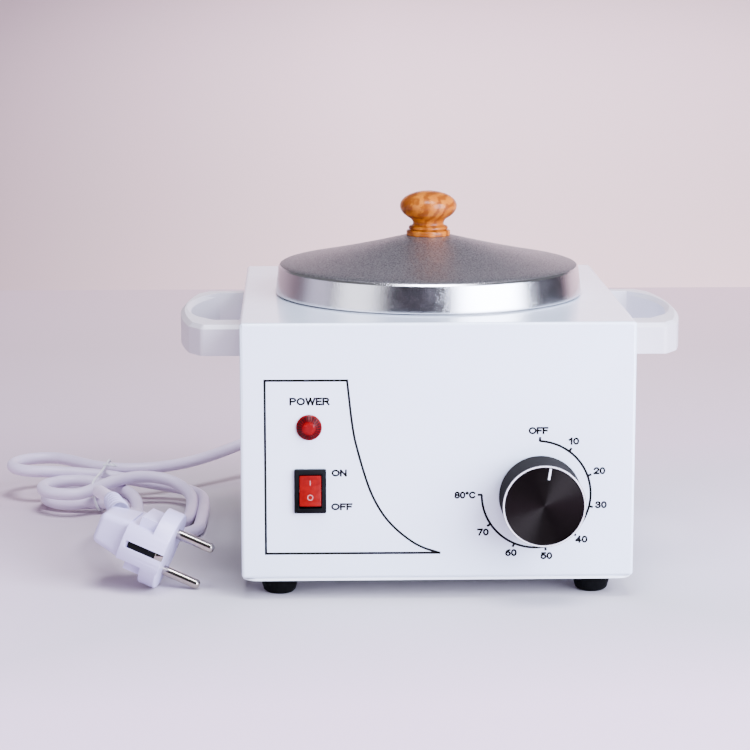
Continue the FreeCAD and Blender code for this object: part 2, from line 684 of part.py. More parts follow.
def insulation_sleeve():
    """A glass-fibre sleeve round the band, open at the back where the band's ears come through."""
    inner = band_outer + size("sleeve_gap")
    tall = size("sleeve_height")
    low = well_floor + size("sleeve_rise")
    ring = cylinder(inner + size("sleeve_thickness"), tall, z=low)
    hollow = cylinder(inner, tall, z=low)
    slot = box(size("sleeve_slot"), inner, tall, 0.0, inner, low)
    keep("insulation_sleeve", cut(ring, hollow, slot))


def rod_along_x(radius, length, back, level):
    return cylinder(radius, length, -length / 2, back, level, *FACING_RIGHT)


def floor_clip(radius, back):
    """A bent strip that holds a rod of this radius against the underside of the well."""
    wide = size("clip_width")
    thick = size("clip_thickness")
    gap = size("thread_gap")
    low = well_floor - radius * 2 - thick
    outer = box(wide, (radius + thick + size("clip_foot")) * 2, radius * 2 + thick, 0.0, back, low)
    room = box(wide, (radius + gap) * 2, radius * 2 + gap, 0.0, back, well_floor - radius * 2 - gap)
    beside = radius + thick + size("clip_foot") / 2
    cuts = [box(wide, size("clip_foot"), radius * 2, 0.0, back + beside * side, low) for side in SIDES]
    return cut(outer, room, *cuts)


def under_floor_parts():
    """The sensing bulb, the thermal fuse and their clips, all against the underside of the well."""
    bulb_radius = size("bulb_radius")
    bulb = rod_along_x(bulb_radius, size("bulb_length"), size("bulb_back"), well_floor - bulb_radius)
    keep("capillary_bulb", bulb)
    fuse_radius = size("fuse_radius")
    fuse_back = -size("fuse_front")
    body = rod_along_x(fuse_radius, size("fuse_length"), fuse_back, well_floor - fuse_radius)
    leads = rod_along_x(size("fuse_lead_radius"), size("fuse_length") + size("fuse_lead") * 2, fuse_back,
                        well_floor - fuse_radius)
    keep("thermal_fuse", fuse(body, leads))
    group("bulb_clips", [floor_clip(bulb_radius, size("bulb_back")), floor_clip(fuse_radius, fuse_back)])


# ---------------------------------------------------------------- lid
lid_rim = panel_top + size("lid_gap")
lid_rim_radius = flange_radius + size("lid_overlap")
lid_shoulder = lid_rim + size("lid_skirt")
lid_shoulder_radius = lid_rim_radius - size("lid_flare")
lid_brim = lid_shoulder + size("lid_brim_rise")
lid_brim_radius = lid_shoulder_radius - size("lid_brim")
lid_crown = lid_brim + size("lid_rise")
lid_inner_crown = lid_crown - size("lid_wall")


def lid():
    body = new_body("lid")
    skin = size("lid_wall")
    bulge = size("lid_shoulder_bulge")
    seat = size("lid_seat_radius")
    revolve(body, [
        (screw_hole, lid_crown), (screw_hole, lid_inner_crown), (seat, lid_inner_crown),
        (lid_brim_radius, lid_brim - skin, bulge, 1), (lid_shoulder_radius - skin, lid_shoulder - skin),
        (lid_rim_radius - skin, lid_rim), (lid_rim_radius, lid_rim),
        (lid_shoulder_radius, lid_shoulder, bulge, -1), (lid_brim_radius, lid_brim), (seat, lid_crown)])


def lid_knob():
    body = new_body("lid_knob", z=lid_crown)
    base = size("knob_base_height")
    base_radius = size("knob_base_radius")
    bevel = size("knob_bevel")
    bead = size("knob_bead_radius")
    bead_top = base + size("knob_bead_height")
    neck = size("knob_neck_radius")
    flare_bottom = bead_top + size("knob_neck_height") - size("knob_flare_start")
    ball = size("knob_ball_radius") - size("knob_ball_bulge")
    ball_low = size("knob_ball_height") - size("knob_ball_half")
    ball_high = size("knob_ball_height") + size("knob_ball_half")
    top = size("knob_height")
    deep = size("lid_screw_length") - size("lid_wall") - size("lid_washer") + size("lid_screw_room")
    revolve(body, [
        (thread, 0.0), (base_radius - bevel, 0.0), (base_radius, bevel), (base_radius, base - bevel),
        (base_radius - bevel, base), (bead, base, size("knob_bead_bulge"), -1), (bead - bevel, bead_top),
        (neck, bead_top + size("knob_neck_step")), (neck, flare_bottom, size("knob_flare_hollow"), 1),
        (ball, ball_low, size("knob_ball_bulge"), -1), (ball, ball_high, size("knob_crown_bulge"), -1),
        (size("knob_top_radius"), top - size("knob_top_rise")), (0.0, top), (0.0, deep), (thread, deep)])


def lid_fasteners():
    washer_bottom = lid_inner_crown - size("lid_washer")
    disc = cylinder(size("lid_washer_radius"), size("lid_washer"), z=washer_bottom)
    keep("lid_washer", cut(disc, cylinder(screw_hole, size("lid_washer"), z=washer_bottom)))
    head = cylinder(size("head_radius"), size("head_height"), z=washer_bottom - size("head_height"))
    keep("lid_screw", fuse(head, cylinder(screw, size("lid_screw_length"), z=washer_bottom)))


# ---------------------------------------------------------------- dial and thermostat
shaft_seat = panel_inside + size("thermostat_depth") - size("shaft_stop")
dial_length = size("dial_proud") - size("dial_gap") - size("cap_thickness")
cap_radius = size("dial_radius") - size("cap_inset")
thermostat_back = panel_inside + size("thermostat_depth") + size("thermostat_ear_thickness")


def thermostat():
    wide = size("thermostat_width")
    deep = size("thermostat_depth")
    ear = size("thermostat_ear_thickness")
    ear_tall = size("thermostat_ear_height")
    tap = size("thermostat_tap")
    case = box(wide, deep, wide, dial_x, thermostat_back - deep / 2, dial_z - wide / 2)
    ears = box((thermostat_hole + size("thermostat_ear")) * 2, ear, ear_tall, dial_x,
               panel_inside + ear / 2, dial_z - ear_tall / 2)
    bore = cylinder(size("shaft_radius") + size("shaft_gap"), shaft_seat - panel_inside, dial_x,
                    shaft_seat, dial_z, *FACING_FRONT)
    screw_spots = [dial_x + thermostat_hole * side for side in SIDES]
    taps = [cylinder(thread, tap, across, panel_inside + tap, dial_z, *FACING_FRONT)
            for across in screw_spots]
    keep("thermostat_body", cut(fuse(case, ears), bore, *taps))
    length = size("thermostat_screw")
    screws = []
    for across in screw_spots:
        shank = cylinder(screw, length, across, front + length, dial_z, *FACING_FRONT)
        head = cylinder(size("thermostat_head_radius"), size("thermostat_head"), across, front, dial_z,
                        *FACING_FRONT)
        screws.append(fuse(shank, head))
    group("thermostat_screws", screws)


def thermostat_shaft():
    """The shaft that the knob sits on, with the flat that drives it."""
    radius = size("shaft_radius")
    flat = size("shaft_flat")
    flat_length = size("shaft_flat_length")
    tip = front - size("dial_gap") - size("dial_bore_depth") + size("rest_gap")
    end = shaft_seat - size("rest_gap")
    rod = cylinder(radius, end - tip, dial_x, end, dial_z, *FACING_FRONT)
    side = box(radius * 2, flat_length, flat, dial_x, tip + flat_length / 2, dial_z + radius - flat)
    keep("thermostat_shaft", cut(rod, side))


def dial_knob():
    body = new_body("dial_knob", dial_x, front - size("dial_gap"), dial_z, *FACING_FRONT)
    outer = size("dial_radius")
    grip = outer - size("dial_taper")
    bore = size("shaft_radius") + size("thread_gap")
    boss = size("dial_boss")
    recess = size("dial_recess")
    inner = outer - size("dial_skirt")
    bevel = size("dial_bevel")
    skirt = size("dial_skirt_height")
    shoulder = size("dial_shoulder")
    bore_end = size("dial_bore_depth")
    revolve(body, [
        (bore, 0.0), (boss, 0.0), (boss, recess), (inner, recess), (inner, 0.0), (outer - bevel, 0.0),
        (outer, bevel), (outer, skirt), (grip, skirt + bevel), (grip, dial_length - shoulder),
        (grip - shoulder / 2, dial_length), (0.0, dial_length), (0.0, bore_end), (bore, bore_end)])


def dial_face():
    thick = size("cap_thickness")
    bevel = size("cap_bevel")
    sink = size("cap_sink")
    lip = cap_radius - size("cap_ring")
    plate = lip - size("cap_slope")
    cap = new_body("dial_cap", dial_x, front - size("dial_gap") - dial_length, dial_z, *FACING_FRONT)
    revolve(cap, [(0.0, 0.0), (cap_radius, 0.0), (cap_radius, thick - bevel), (cap_radius - bevel, thick),
                  (lip, thick), (plate, thick - sink), (0.0, thick - sink)])
    outline = pointer_outline(plate - size("pointer_inset"))
    slot = new_sketch(cap, "XY_Plane", lift=thick)
    draw_outline(slot, outline)
    pocket(cap, slot, size("pointer_sink"))
    line = new_body("dial_pointer", dial_x, front - size("dial_proud") + size("pointer_sink"), dial_z,
                    *FACING_FRONT)
    strip = new_sketch(line, "XY_Plane")
    draw_outline(strip, outline)
    pad(line, strip, size("pointer_sink") - sink)


def pointer_outline(reach):
    """The pointer's corners: a bar that ends at reach from the axis, turned clockwise from upright."""
    turn = math.radians(float(size("pointer_angle")))
    half = size("pointer_width") / 2
    near = reach - size("pointer_length")
    return [(along * math.sin(turn) + half * side * math.cos(turn),
             along * math.cos(turn) - half * side * math.sin(turn))
            for side, along in ((-1, near), (1, near), (1, reach), (-1, reach))]


# ---------------------------------------------------------------- lamp and switch
lamp_tail = front + size("lamp_depth") + size("lamp_tab_length")


def lamp():
    lens = new_body("lamp_lens", lamp_x, front, lamp_z, *FACING_FRONT)
    radius = size("lamp_radius")
    neck = size("lamp_neck")
    proud = size("lamp_proud")
    bevel = size("lamp_bevel")
    sunk = size("lamp_plug")
    core = neck - size("lamp_skin") - size("thread_gap")
    revolve(lens, [(0.0, -sunk), (core, -sunk), (core, 0.0), (radius, 0.0), (radius, size("lamp_rim")),
                   (radius - bevel, proud - size("lamp_dome")), (radius - bevel * 2, proud), (0.0, proud)])
    deep = size("lamp_depth")
    holder = cylinder(neck, deep, lamp_x, front + deep, lamp_z, *FACING_FRONT)
    socket = cylinder(neck - size("lamp_skin"), sunk, lamp_x, front + sunk, lamp_z, *FACING_FRONT)
    tab_long = size("lamp_tab_length")
    tab_tall = size("lamp_tab_height")
    tabs = [box(size("lamp_tab_width"), tab_long, tab_tall, lamp_x + size("lamp_tab_offset") * side,
                front + deep + tab_long / 2, lamp_z - tab_tall / 2) for side in SIDES]
    keep("lamp_body", fuse(cut(holder, socket), *tabs))
    clip = size("lamp_clip_thickness")
    ring = cylinder(size("lamp_clip_radius"), clip, lamp_x, panel_inside + clip, lamp_z, *FACING_FRONT)
    hole = cylinder(neck + size("thread_gap"), clip, lamp_x, panel_inside + clip, lamp_z, *FACING_FRONT)
    keep("lamp_clip", cut(ring, hole))


rocker_pivot = front + size("rocker_pin_sink")
window_wide = size("bezel_width") - size("bezel_side") * 2
window_tall = size("bezel_height") - size("bezel_end") * 2
pin_long = window_wide + size("rocker_pin_seat") * 2


def switch():
    body = new_body("switch_body", switch_x, front, switch_z, *FACING_FRONT)
    bezel = new_sketch(body, "XY_Plane")
    draw_rectangle(bezel, size("bezel_width"), size("bezel_height"))
    pad(body, bezel, size("bezel_proud"))
    face = float(size("bezel_proud")) - 1e-6
    round_edges(body, size("bezel_round"), lambda edge: edge.BoundBox.ZMax > face or is_upright(edge))
    case = new_sketch(body, "XY_Plane")
    draw_rectangle(case, switch_wide, switch_tall)
    pad(body, case, size("switch_depth"), back=True)
    window = new_sketch(body, "XY_Plane", lift=size("bezel_proud"))
    draw_rectangle(window, window_wide, window_tall)
    pocket(body, window, size("window_depth"))
    seat = new_sketch(body, "YZ_Plane")
    draw_circle(seat, size("rocker_pin_radius") + size("shaft_gap"), 0.0, -size("rocker_pin_sink"))
    pocket(body, seat, pin_long, both=True)
    tabs = new_sketch(body, "XY_Plane", lift=-size("switch_depth"))
    for side in SIDES:
        draw_rectangle(tabs, size("tab_thickness"), size("tab_width"), 0.0, size("tab_pitch") / 2 * side)
    pad(body, tabs, size("tab_length"), back=True)


def rocker():
    """A bowed see-saw button, drawn from the side and turned to its on position."""
    wide = window_wide - size("rocker_gap") * 2
    tall = window_tall / 2 - size("rocker_gap") - size("rocker_end")
    cheek = tall - size("rocker_cheek")
    shoulder = size("rocker_shoulder")
    belly = size("rocker_belly")
    belly_half = size("rocker_belly_half")
    face = -(size("rocker_proud") + size("rocker_pin_sink"))
    body = new_body("switch_rocker", switch_x, rocker_pivot, switch_z, (1, 0, 0), 0.0)
    body.setExpression("Placement.Rotation.Angle", size("rocker_angle").formula)
    profile = new_sketch(body, "YZ_Plane", lift=-wide / 2)
    draw_outline(profile, [(face, -tall, size("rocker_swell"), -1), (face, tall), (shoulder, cheek),
                           (belly, belly_half), (belly, -belly_half), (shoulder, -cheek)])
    pad(body, profile, wide)
    bore = new_sketch(body, "YZ_Plane")
    draw_circle(bore, size("rocker_pin_radius") + size("thread_gap"), 0.0, 0.0)
    pocket(body, bore, wide + overrun, both=True)
    keep("switch_pin", cylinder(size("rocker_pin_radius"), pin_long - size("thread_gap") * 2,
                                switch_x - pin_long / 2 + size("thread_gap"), rocker_pivot, switch_z,
                                *FACING_RIGHT))


# ---------------------------------------------------------------- terminals and wires
block_x = size("block_across")
block_y = rear - size("block_inset")


def terminal_block():
    high = size("block_height")
    deep = size("block_depth")
    sunk = shell_bottom + high - size("block_screw_depth")
    poles = [block_x + size("block_pole_pitch") * pole for pole in POLES]
    rows = [block_y + size("block_screw_offset") * side for side in SIDES]
    block = box(size("block_width"), deep, high, block_x, block_y, shell_bottom)
    entries = [cylinder(size("wire_radius") + size("block_bore_gap"), deep, across, block_y + deep / 2,
                        shell_bottom + high / 2, *FACING_FRONT) for across in poles]
    wells = [cylinder(size("block_screw_radius"), size("block_screw_depth"), across, back, sunk)
             for across in poles for back in rows]
    keep("terminal_block", cut(block, *entries, *wells))
    group("terminal_screws", [
        cylinder(size("block_screw_radius") - size("thread_gap"), size("block_screw_length"), across, back,
                 sunk) for across in poles for back in rows])


def earth_terminal():
    """A stud through the base plate, the earth wire's tag and the nut that holds it."""
    low = size("foot_height")
    head = size("stud_head")
    stud = fuse(cylinder(screw, size("stud_length"), earth_x, earth_y, low),
                cylinder(size("head_radius"), head, earth_x, earth_y, low - head))
    tag_bottom = low + size("plate_thickness")
    thick = size("tag_thickness")
    tongue = box(size("tag_length"), size("tag_width"), thick, earth_x - size("tag_length") / 2, earth_y,
                 tag_bottom)
    tag = cut(fuse(cylinder(size("tag_radius"), thick, earth_x, earth_y, tag_bottom), tongue),
              cylinder(thread, thick, earth_x, earth_y, tag_bottom))
    nut_bottom = tag_bottom + thick
    nut = cut(hexagon(size("nut_across"), size("nut_height"), earth_x, earth_y, nut_bottom),
              cylinder(thread, size("nut_height"), earth_x, earth_y, nut_bottom))
    group("earth_terminal", [stud, tag, nut])


HEATER_WIRE = math.radians(-41.4)     # where the heater's two wires meet the band, round from +X
RETURN_WIRE = math.radians(-10.0)


def bent_tube(points, radius, node=None):
    """A round tube along straight runs joined by tangent arcs, each as large as its two runs allow."""
    edges = []
    last = points[0]
    length = 0.0
    for index in range(1, len(points) - 1):
        corner = points[index]
        before = (points[index - 1] - corner)
        after = (points[index + 1] - corner)
        half_turn = (math.pi - before.getAngle(after)) / 2
        reach = 0.45 * min(before.Length, after.Length)
        bend = reach / math.tan(half_turn)
        start = corner + before.normalize() * reach
        end = corner + after.normalize() * reach
        inward = (before + after).normalize()
        middle = corner + inward * (bend / math.cos(half_turn) - bend)
        edges.append(Part.LineSegment(last, start).toShape())
        edges.append(Part.Arc(start, middle, end).toShape())
        length += (start - last).Length + bend * 2 * half_turn
        last = end
        if node:
            print("%s bend %d: radius %.1f mm" % (node, index, bend))
    edges.append(Part.LineSegment(last, points[-1]).toShape())
    length += (points[-1] - last).Length
    path = Part.Wire(edges)
    way = points[1] - points[0]
    section = Part.Wire([Part.Circle(points[0], way, radius).toShape()])
    tube = path.makePipeShell([section], True, False)
    expected = math.pi * radius ** 2 * length
    if abs(tube.Volume - expected) > 0.02 * expected:
        raise RuntimeError("a tube's volume is off: %.1f for %.1f" % (tube.Volume, expected))
    if node:
        print("%s length %.1f mm" % (node, length))
    return tube


def wires():
    """The inside wiring. Each end meets its terminal square on."""
    pole = size("block_pole_pitch")
    entry = block_y - size("block_depth") / 2
    level = shell_bottom + size("block_height") / 2
    tail = front + size("switch_depth") + size("tab_length")
    low_tab = switch_z - size("tab_pitch") / 2
    high_tab = switch_z + size("tab_pitch") / 2
    riser = band_inner + size("band_thickness") / 2
    riser_x, riser_y = riser * math.cos(HEATER_WIRE), riser * math.sin(HEATER_WIRE)
    return_x, return_y = riser * math.cos(RETURN_WIRE), riser * math.sin(RETURN_WIRE)
    lead_x = size("fuse_length") / 2 + size("fuse_lead")
    lead_y = -size("fuse_front")
    lead_z = well_floor - size("fuse_radius")
    bulb_x = size("bulb_length") / 2
    bulb_y = size("bulb_back")
    bulb_z = well_floor - size("bulb_radius")
    tag_x = earth_x - size("tag_length")
    tag_z = shell_bottom + size("wire_radius")
    run = size("wire_run")
    under = well_floor - size("wire_drop")
    spade = size("wire_spade")
    link_x = dial_x - spade
    heater_x, heater_z = dial_x + spade / 2, dial_z - spade * 0.6
    tube_x, tube_z = dial_x + spade * 1.25, dial_z + spade * 0.75
    routes = {
        "wire_live": [
            (block_x - pole, entry, level), (block_x - pole, entry - run * 2, level),
            (switch_x, 0, level + run * 0.7), (switch_x, tail + run * 2, low_tab), (switch_x, tail, low_tab)],
        "wire_link": [
            (switch_x, tail, high_tab), (switch_x, tail + run, high_tab),
            (switch_x + run * 0.7, tail + run * 1.5, under), (-well_outer * 0.33, -well_outer * 0.56, under),
            (well_outer * 0.24, -well_outer * 0.65, under), (link_x, thermostat_back + run * 2, dial_z),
            (link_x, thermostat_back, dial_z)],
        "wire_heater": [
            (heater_x, thermostat_back, heater_z), (heater_x, thermostat_back + run * 2, heater_z),
            (riser_x, riser_y, well_floor - spade * 0.8), (riser_x, riser_y, band_bottom)],
        "wire_neutral": [
            (block_x, entry, level), (block_x, entry - run * 2, level), (block_x, 0, well_floor - run * 2),
            (-lead_x - run, lead_y, lead_z), (-lead_x, lead_y, lead_z)],
        "wire_return": [
            (lead_x, lead_y, lead_z), (lead_x + run * 1.5, lead_y, lead_z),
            (return_x, return_y, lead_z - spade * 0.9), (return_x, return_y, band_bottom)],
        "wire_earth": [
            (block_x + pole, entry, level), (block_x + pole, entry - run * 1.8, level),
            (0, earth_y - run * 3, level), (earth_x / 2, earth_y, lip_top + wall), (tag_x, earth_y, tag_z)],
        "capillary_tube": [
            (bulb_x, bulb_y, bulb_z), (bulb_x + run * 1.2, bulb_y, bulb_z),
            (dial_x + run * 1.2, -run * 1.3, well_floor - run * 1.2),
            (tube_x, thermostat_back + run * 1.5, tube_z), (tube_x, thermostat_back, tube_z)],
    }
    for node, route in routes.items():
        thick = size("capillary_radius") if node == "capillary_tube" else size("wire_radius")
        shaped(node, bent_tube([point(*spot) for spot in route], float(thick)))
    case_back = front + size("switch_depth")
    turn_y = lamp_tail + size("lamp_wire_run")
    leads = []
    for side in SIDES:
        tab_x = lamp_x + size("lamp_tab_offset") * side
        end_x = switch_x + size("lamp_wire_spread") * side
        route = [(tab_x, lamp_tail, lamp_z), (tab_x, turn_y, lamp_z), (end_x, turn_y, high_tab + spade),
                 (end_x, case_back + run * 0.8, high_tab), (end_x, case_back, high_tab)]
        leads.append(bent_tube([point(*spot) for spot in route], float(size("lamp_wire_radius"))))
    shaped("wire_lamp", Part.makeCompound(leads))


# ---------------------------------------------------------------- cord
# The route, from the gland to the hank and from the hank to the plug, is chosen by hand. It is repeated
# by the drawn cord, point for point.
FREE_ROUTE = [(-40.0, 119.0, 36.0), (-43.0, 163.0, 34.0), (-84.0, 173.0, 26.0), (-119.0, 136.0, 19.0),
              (-143.0, 112.0, 17.0)]
TAIL_ROUTE = [(-163.0, 64.0, 9.0), (-161.0, 32.0, 19.0), (-169.0, -2.0, 33.5), (-156.4, -40.4, 36.3)]
TIE_ACROSS, TIE_FRONT, TIE_REAR = -171.5, 83.5, 120.0
HANK_OUTLINE = [(-150.0, 123.5), (-128.0, 119.0), (-115.0, 104.0), (-112.6, 62.0), (-113.6, 32.0),
                (-121.0, 17.0), (-134.0, 13.6), (-149.0, 18.0), (-161.0, 38.0), (-166.0, 62.0),
                (-168.0, TIE_FRONT), (-175.0, TIE_FRONT), (-188.0, 79.5), (-204.0, 86.0), (-221.0, 101.0),
                (-226.5, 118.0), (-221.0, 133.0), (-206.0, 140.5), (-188.0, 137.0), (-175.0, TIE_REAR),
                (-168.0, TIE_REAR)]


def cord_gland():
    body = new_body("cord_gland", gland_x, rear, gland_z, *FACING_REAR)
    bore = size("cord_radius") + size("thread_gap")
    flange = size("gland_flange")
    flange_outer = size("gland_flange_radius")
    neck = size("gland_neck_radius") - fit_gap
    barb = neck + size("gland_barb")
    tip = flange + size("relief_length")
    revolve(body, [
        (bore, -wall - flange), (barb, -wall - flange), (barb, -wall), (neck, -wall), (neck, 0.0),
        (flange_outer, 0.0), (flange_outer - size("gland_bevel"), flange),
        (size("relief_root_radius"), flange), (size("relief_tip_radius"), tip), (bore, tip)])


def cord():
    radius = float(size("cord_radius"))
    route = [point(*spot) for spot in FREE_ROUTE]
    start = point(gland_x, rear - wall - size("gland_flange"), gland_z)
    lead_in = Part.makeCylinder(radius, route[0].y - start.y, start, point(0, 1, 0))
    shaped("cord_tube", bent_tube(route, radius, "cord_tube").fuse(lead_in).removeSplitter())
    shaped("cord_tail", bent_tube([point(*spot) for spot in TAIL_ROUTE], radius, "cord_tail"))


def cord_hank():
    """The tied hank as one closed solid of its outer shape, and the closed loop of its tie."""
    base = float(size("hank_base"))
    top = float(size("hank_height"))
    tie = float(size("tie_radius"))
    slack = float(size("tie_groove"))
    corners = [point(x, y, base) for x, y in HANK_OUTLINE]
    outline = Part.makePolygon(corners + [corners[0]])
    solid = Part.Face(outline).extrude(point(0, 0, top - base))
    outer_front = TIE_FRONT - tie - slack / 2
    outer_rear = TIE_REAR + tie + slack / 2
    groove = Part.makeBox((tie + slack) * 2, outer_rear - outer_front, base + tie * 2 + slack / 2,
                          point(TIE_ACROSS - tie - slack, outer_front, 0.0))
    shaped("cord_hank", solid.cut(groove))
    loop = [point(TIE_ACROSS, outer_front, base + tie), point(TIE_ACROSS, outer_front, top + tie),
            point(TIE_ACROSS, outer_rear, top + tie), point(TIE_ACROSS, outer_rear, base + tie)]
    rails = []
    for start, end in zip(loop, loop[1:] + loop[:1]):
        rails.append(Part.makeCylinder(tie, (end - start).Length, start, end - start))
    elbows = [Part.makeSphere(tie, spot) for spot in loop]
    shaped("hank_tie", rails[0].multiFuse(rails[1:] + elbows))


# ---------------------------------------------------------------- plug
# The plug lies tilted on the floor on the edge of its face: its pins point along PLUG_PINS, the row of
# pins lies along PLUG_ROW, and PLUG_SPOT is the middle of its face.
PLUG_SPOT = (-126.4, -73.0, 17.75)
PLUG_PINS = (0.913, -0.176, -0.369)
PLUG_ROW = (0.373, -0.006, 0.928)


def plug_placement():
    pins = FreeCAD.Vector(*PLUG_PINS).normalize()
    row = FreeCAD.Vector(*PLUG_ROW)
    row = (row - pins * row.dot(pins)).normalize()
    turn = FreeCAD.Rotation(row, pins.cross(row), pins, "ZXY")
    return FreeCAD.Placement(point(*PLUG_SPOT), turn)


def centred_box(half_row, half_side, low, high):
    return Part.makeBox(half_row * 2, half_side * 2, high - low, point(-half_row, -half_side, low))


def rectangle_wire(half_row, half_side, level):
    corners = [point(-half_row, -half_side, level), point(half_row, -half_side, level),
               point(half_row, half_side, level), point(-half_row, half_side, level)]
    return Part.makePolygon(corners + [corners[0]])


def plug_blank():
    """The moulded body before its pins and strips are cut in. Its face lies on z = 0."""
    radius = float(size("plug_radius"))
    deep = float(size("plug_face_depth"))
    neck_deep = float(size("plug_neck_depth"))
    core = float(size("plug_core_half"))
    grip = float(size("plug_grip_depth"))
    face = Part.makeCylinder(radius, deep, point(0, 0, -deep))
    rim_edge = [edge for edge in face.Edges if edge.BoundBox.ZMin > -1e-6]
    face = face.makeChamfer(float(size("plug_face_bevel")), rim_edge)
    rim = Part.makeCylinder(radius, neck_deep, point(0, 0, -neck_deep))
    keyed = rim.common(centred_box(float(size("plug_neck_half")), radius, -neck_deep, 0.0))
    middle = centred_box(core, float(size("plug_core_side")), -float(size("plug_core_depth")), 0.0)
    broad = rectangle_wire(float(size("plug_grip_half")), float(size("plug_grip_side")), -neck_deep)
    narrow = rectangle_wire(float(size("plug_tip_half")), float(size("plug_tip_side")), -grip)
    back = Part.makeLoft([broad, narrow], True, True)
    soft_edges = [edge for edge in back.Edges if edge.BoundBox.ZMin < -neck_deep - 1e-3]
    back = back.makeFillet(float(size("plug_grip_round")), soft_edges)
    root = point(size("plug_relief_across"), -size("plug_relief_side"), -grip + size("plug_relief_sink"))
    way = plug_placement().inverse().multVec(point(*TAIL_ROUTE[-1])) - root
    relief = Part.makeCone(float(size("plug_relief_root")), float(size("plug_relief_tip")), way.Length,
                           root, way)
    return face.multiFuse([keyed, middle, back, relief]).removeSplitter()


def plug():
    body = plug_blank()
    hold = float(size("pin_hold"))
    reach = float(size("pin_length"))
    pins = []
    for side in SIDES:
        spot = size("pin_pitch") / 2 * side
        shank = Part.makeCylinder(float(size("pin_radius")), reach, point(spot, 0, 0))
        end = [edge for edge in shank.Edges if edge.BoundBox.ZMin > reach - 1e-6]
        root = Part.makeCylinder(float(size("pin_root_radius")), hold, point(spot, 0, -hold))
        pins.append(shank.makeFillet(float(size("pin_tip")), end).fuse(root))
        body = body.cut(root)
    half = float(size("clip_strip_width")) / 2
    low = -float(size("clip_strip_length"))
    thick = float(size("clip_strip_thickness"))
    seat = float(size("plug_radius") - size("clip_strip_sink"))
    gap = float(size("thread_gap"))
    recess = centred_box(half, float(size("plug_radius") + overrun), low, 0.0)
    recess = recess.cut(centred_box(half, seat, low, 0.0))
    body = body.cut(recess)
    strips = centred_box(half - gap, seat + thick, low + gap, -gap)
    strips = strips.cut(centred_box(half, seat, low, 0.0))
    for node, shape in (("plug_body", body), ("plug_pins", Part.makeCompound(pins)),
                        ("plug_clips", strips)):
        item = shaped(node, shape)
        item.Placement = plug_placement()


# ---------------------------------------------------------------- the whole
housing_shell()
base_plate()
for spot_name, (foot_x, foot_y) in FOOT_SPOTS.items():
    foot("foot_" + spot_name, foot_x, foot_y)
foot_fasteners()
handle("handle_left", -1)
handle("handle_right", 1)
handle_screws()
heater_well()
well_clamp_ring()
wax_pot()
heater_band()
band_bolt()
insulation_sleeve()
under_floor_parts()
lid()
lid_knob()
lid_fasteners()
thermostat()
thermostat_shaft()
dial_knob()
dial_face()
lamp()
switch()
rocker()
terminal_block()
earth_terminal()
wires()
cord_gland()
cord()
cord_hank()
plug()
doc.recompute()

for item in doc.Objects:
    if "Invalid" in item.State or "Error" in item.State:
        raise RuntimeError("%s failed: %s" % (item.Label, item.State))
os.makedirs("parts", exist_ok=True)
for node_name, item in nodes.items():
    if item.Shape.isNull() or not item.Shape.isValid() or not item.Shape.Solids:
        raise RuntimeError("%s has no valid solid" % node_name)
    item.Shape.exportStep("parts/%s.step" % node_name)
print("%d nodes" % len(nodes))
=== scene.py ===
import bmesh
import bpy
import math
from mathutils import Matrix, Vector


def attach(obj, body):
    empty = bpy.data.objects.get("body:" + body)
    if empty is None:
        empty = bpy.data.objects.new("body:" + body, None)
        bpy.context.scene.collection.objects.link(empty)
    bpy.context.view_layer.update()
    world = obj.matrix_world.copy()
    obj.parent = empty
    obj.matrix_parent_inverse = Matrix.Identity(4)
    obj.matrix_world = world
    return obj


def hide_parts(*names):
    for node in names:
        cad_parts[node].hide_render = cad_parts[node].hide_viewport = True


# Single-pot wax warmer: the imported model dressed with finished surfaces. Numbers are millimetres unless a
# name says otherwise, and MM turns them into the frame's metres.
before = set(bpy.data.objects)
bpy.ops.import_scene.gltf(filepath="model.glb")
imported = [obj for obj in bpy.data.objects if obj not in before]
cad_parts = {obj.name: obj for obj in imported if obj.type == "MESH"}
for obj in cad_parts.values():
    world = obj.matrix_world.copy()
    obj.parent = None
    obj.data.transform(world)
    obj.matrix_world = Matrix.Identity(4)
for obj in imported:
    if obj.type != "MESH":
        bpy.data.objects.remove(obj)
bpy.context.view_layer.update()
MM = 0.001
BOX_FRONT = -97.0
SHELL_BOTTOM = 10.5
SHELL_HALF = 92.0
DIAL_X, DIAL_Z = 47.7, 49.5
LAMP_X, LAMP_Z = -60.15, 82.8
SWITCH_X, SWITCH_Z = -59.7, 52.6
GLAND_SPOT = Vector((-40.0, 97.0, 36.0))


# -------------------------------- camera and stage
def set_camera():
    lens = bpy.data.cameras.new("studio_camera")
    lens.sensor_width = 36.0
    lens.lens = 121.61
    camera = bpy.data.objects.new("studio_camera", lens)
    camera.location = (-0.06545, -1.24911, 0.31836)
    camera.rotation_euler = (math.radians(90.0 - 10.375), 0.0, math.radians(-1.787))
    bpy.context.scene.collection.objects.link(camera)
    bpy.context.scene.camera = camera


set_camera()


# -------------------------------- shaping helpers
def linked(name, data):
    piece = bpy.data.objects.new(name, data)
    bpy.context.scene.collection.objects.link(piece)
    return piece


def smoothed(mesh, sharp):
    """Shades a mesh smooth but for edges sharper than the angle."""
    mesh.shade_smooth()
    mesh.set_sharp_from_angle(angle=math.radians(sharp))


def mesh_of(name, shape, sharp=35.0, smooth=True):
    """Turns a bmesh into a mesh."""
    mesh = bpy.data.meshes.new(name)
    shape.to_mesh(mesh)
    shape.free()
    if smooth:
        smoothed(mesh, sharp)
    return mesh


def settled(piece):
    """The piece with its modifiers or its curve turned into a plain mesh."""
    bpy.context.view_layer.update()
    seen = piece.evaluated_get(bpy.context.evaluated_depsgraph_get())
    mesh = bpy.data.meshes.new_from_object(seen)
    name = piece.name
    bpy.data.objects.remove(piece)
    return linked(name, mesh)


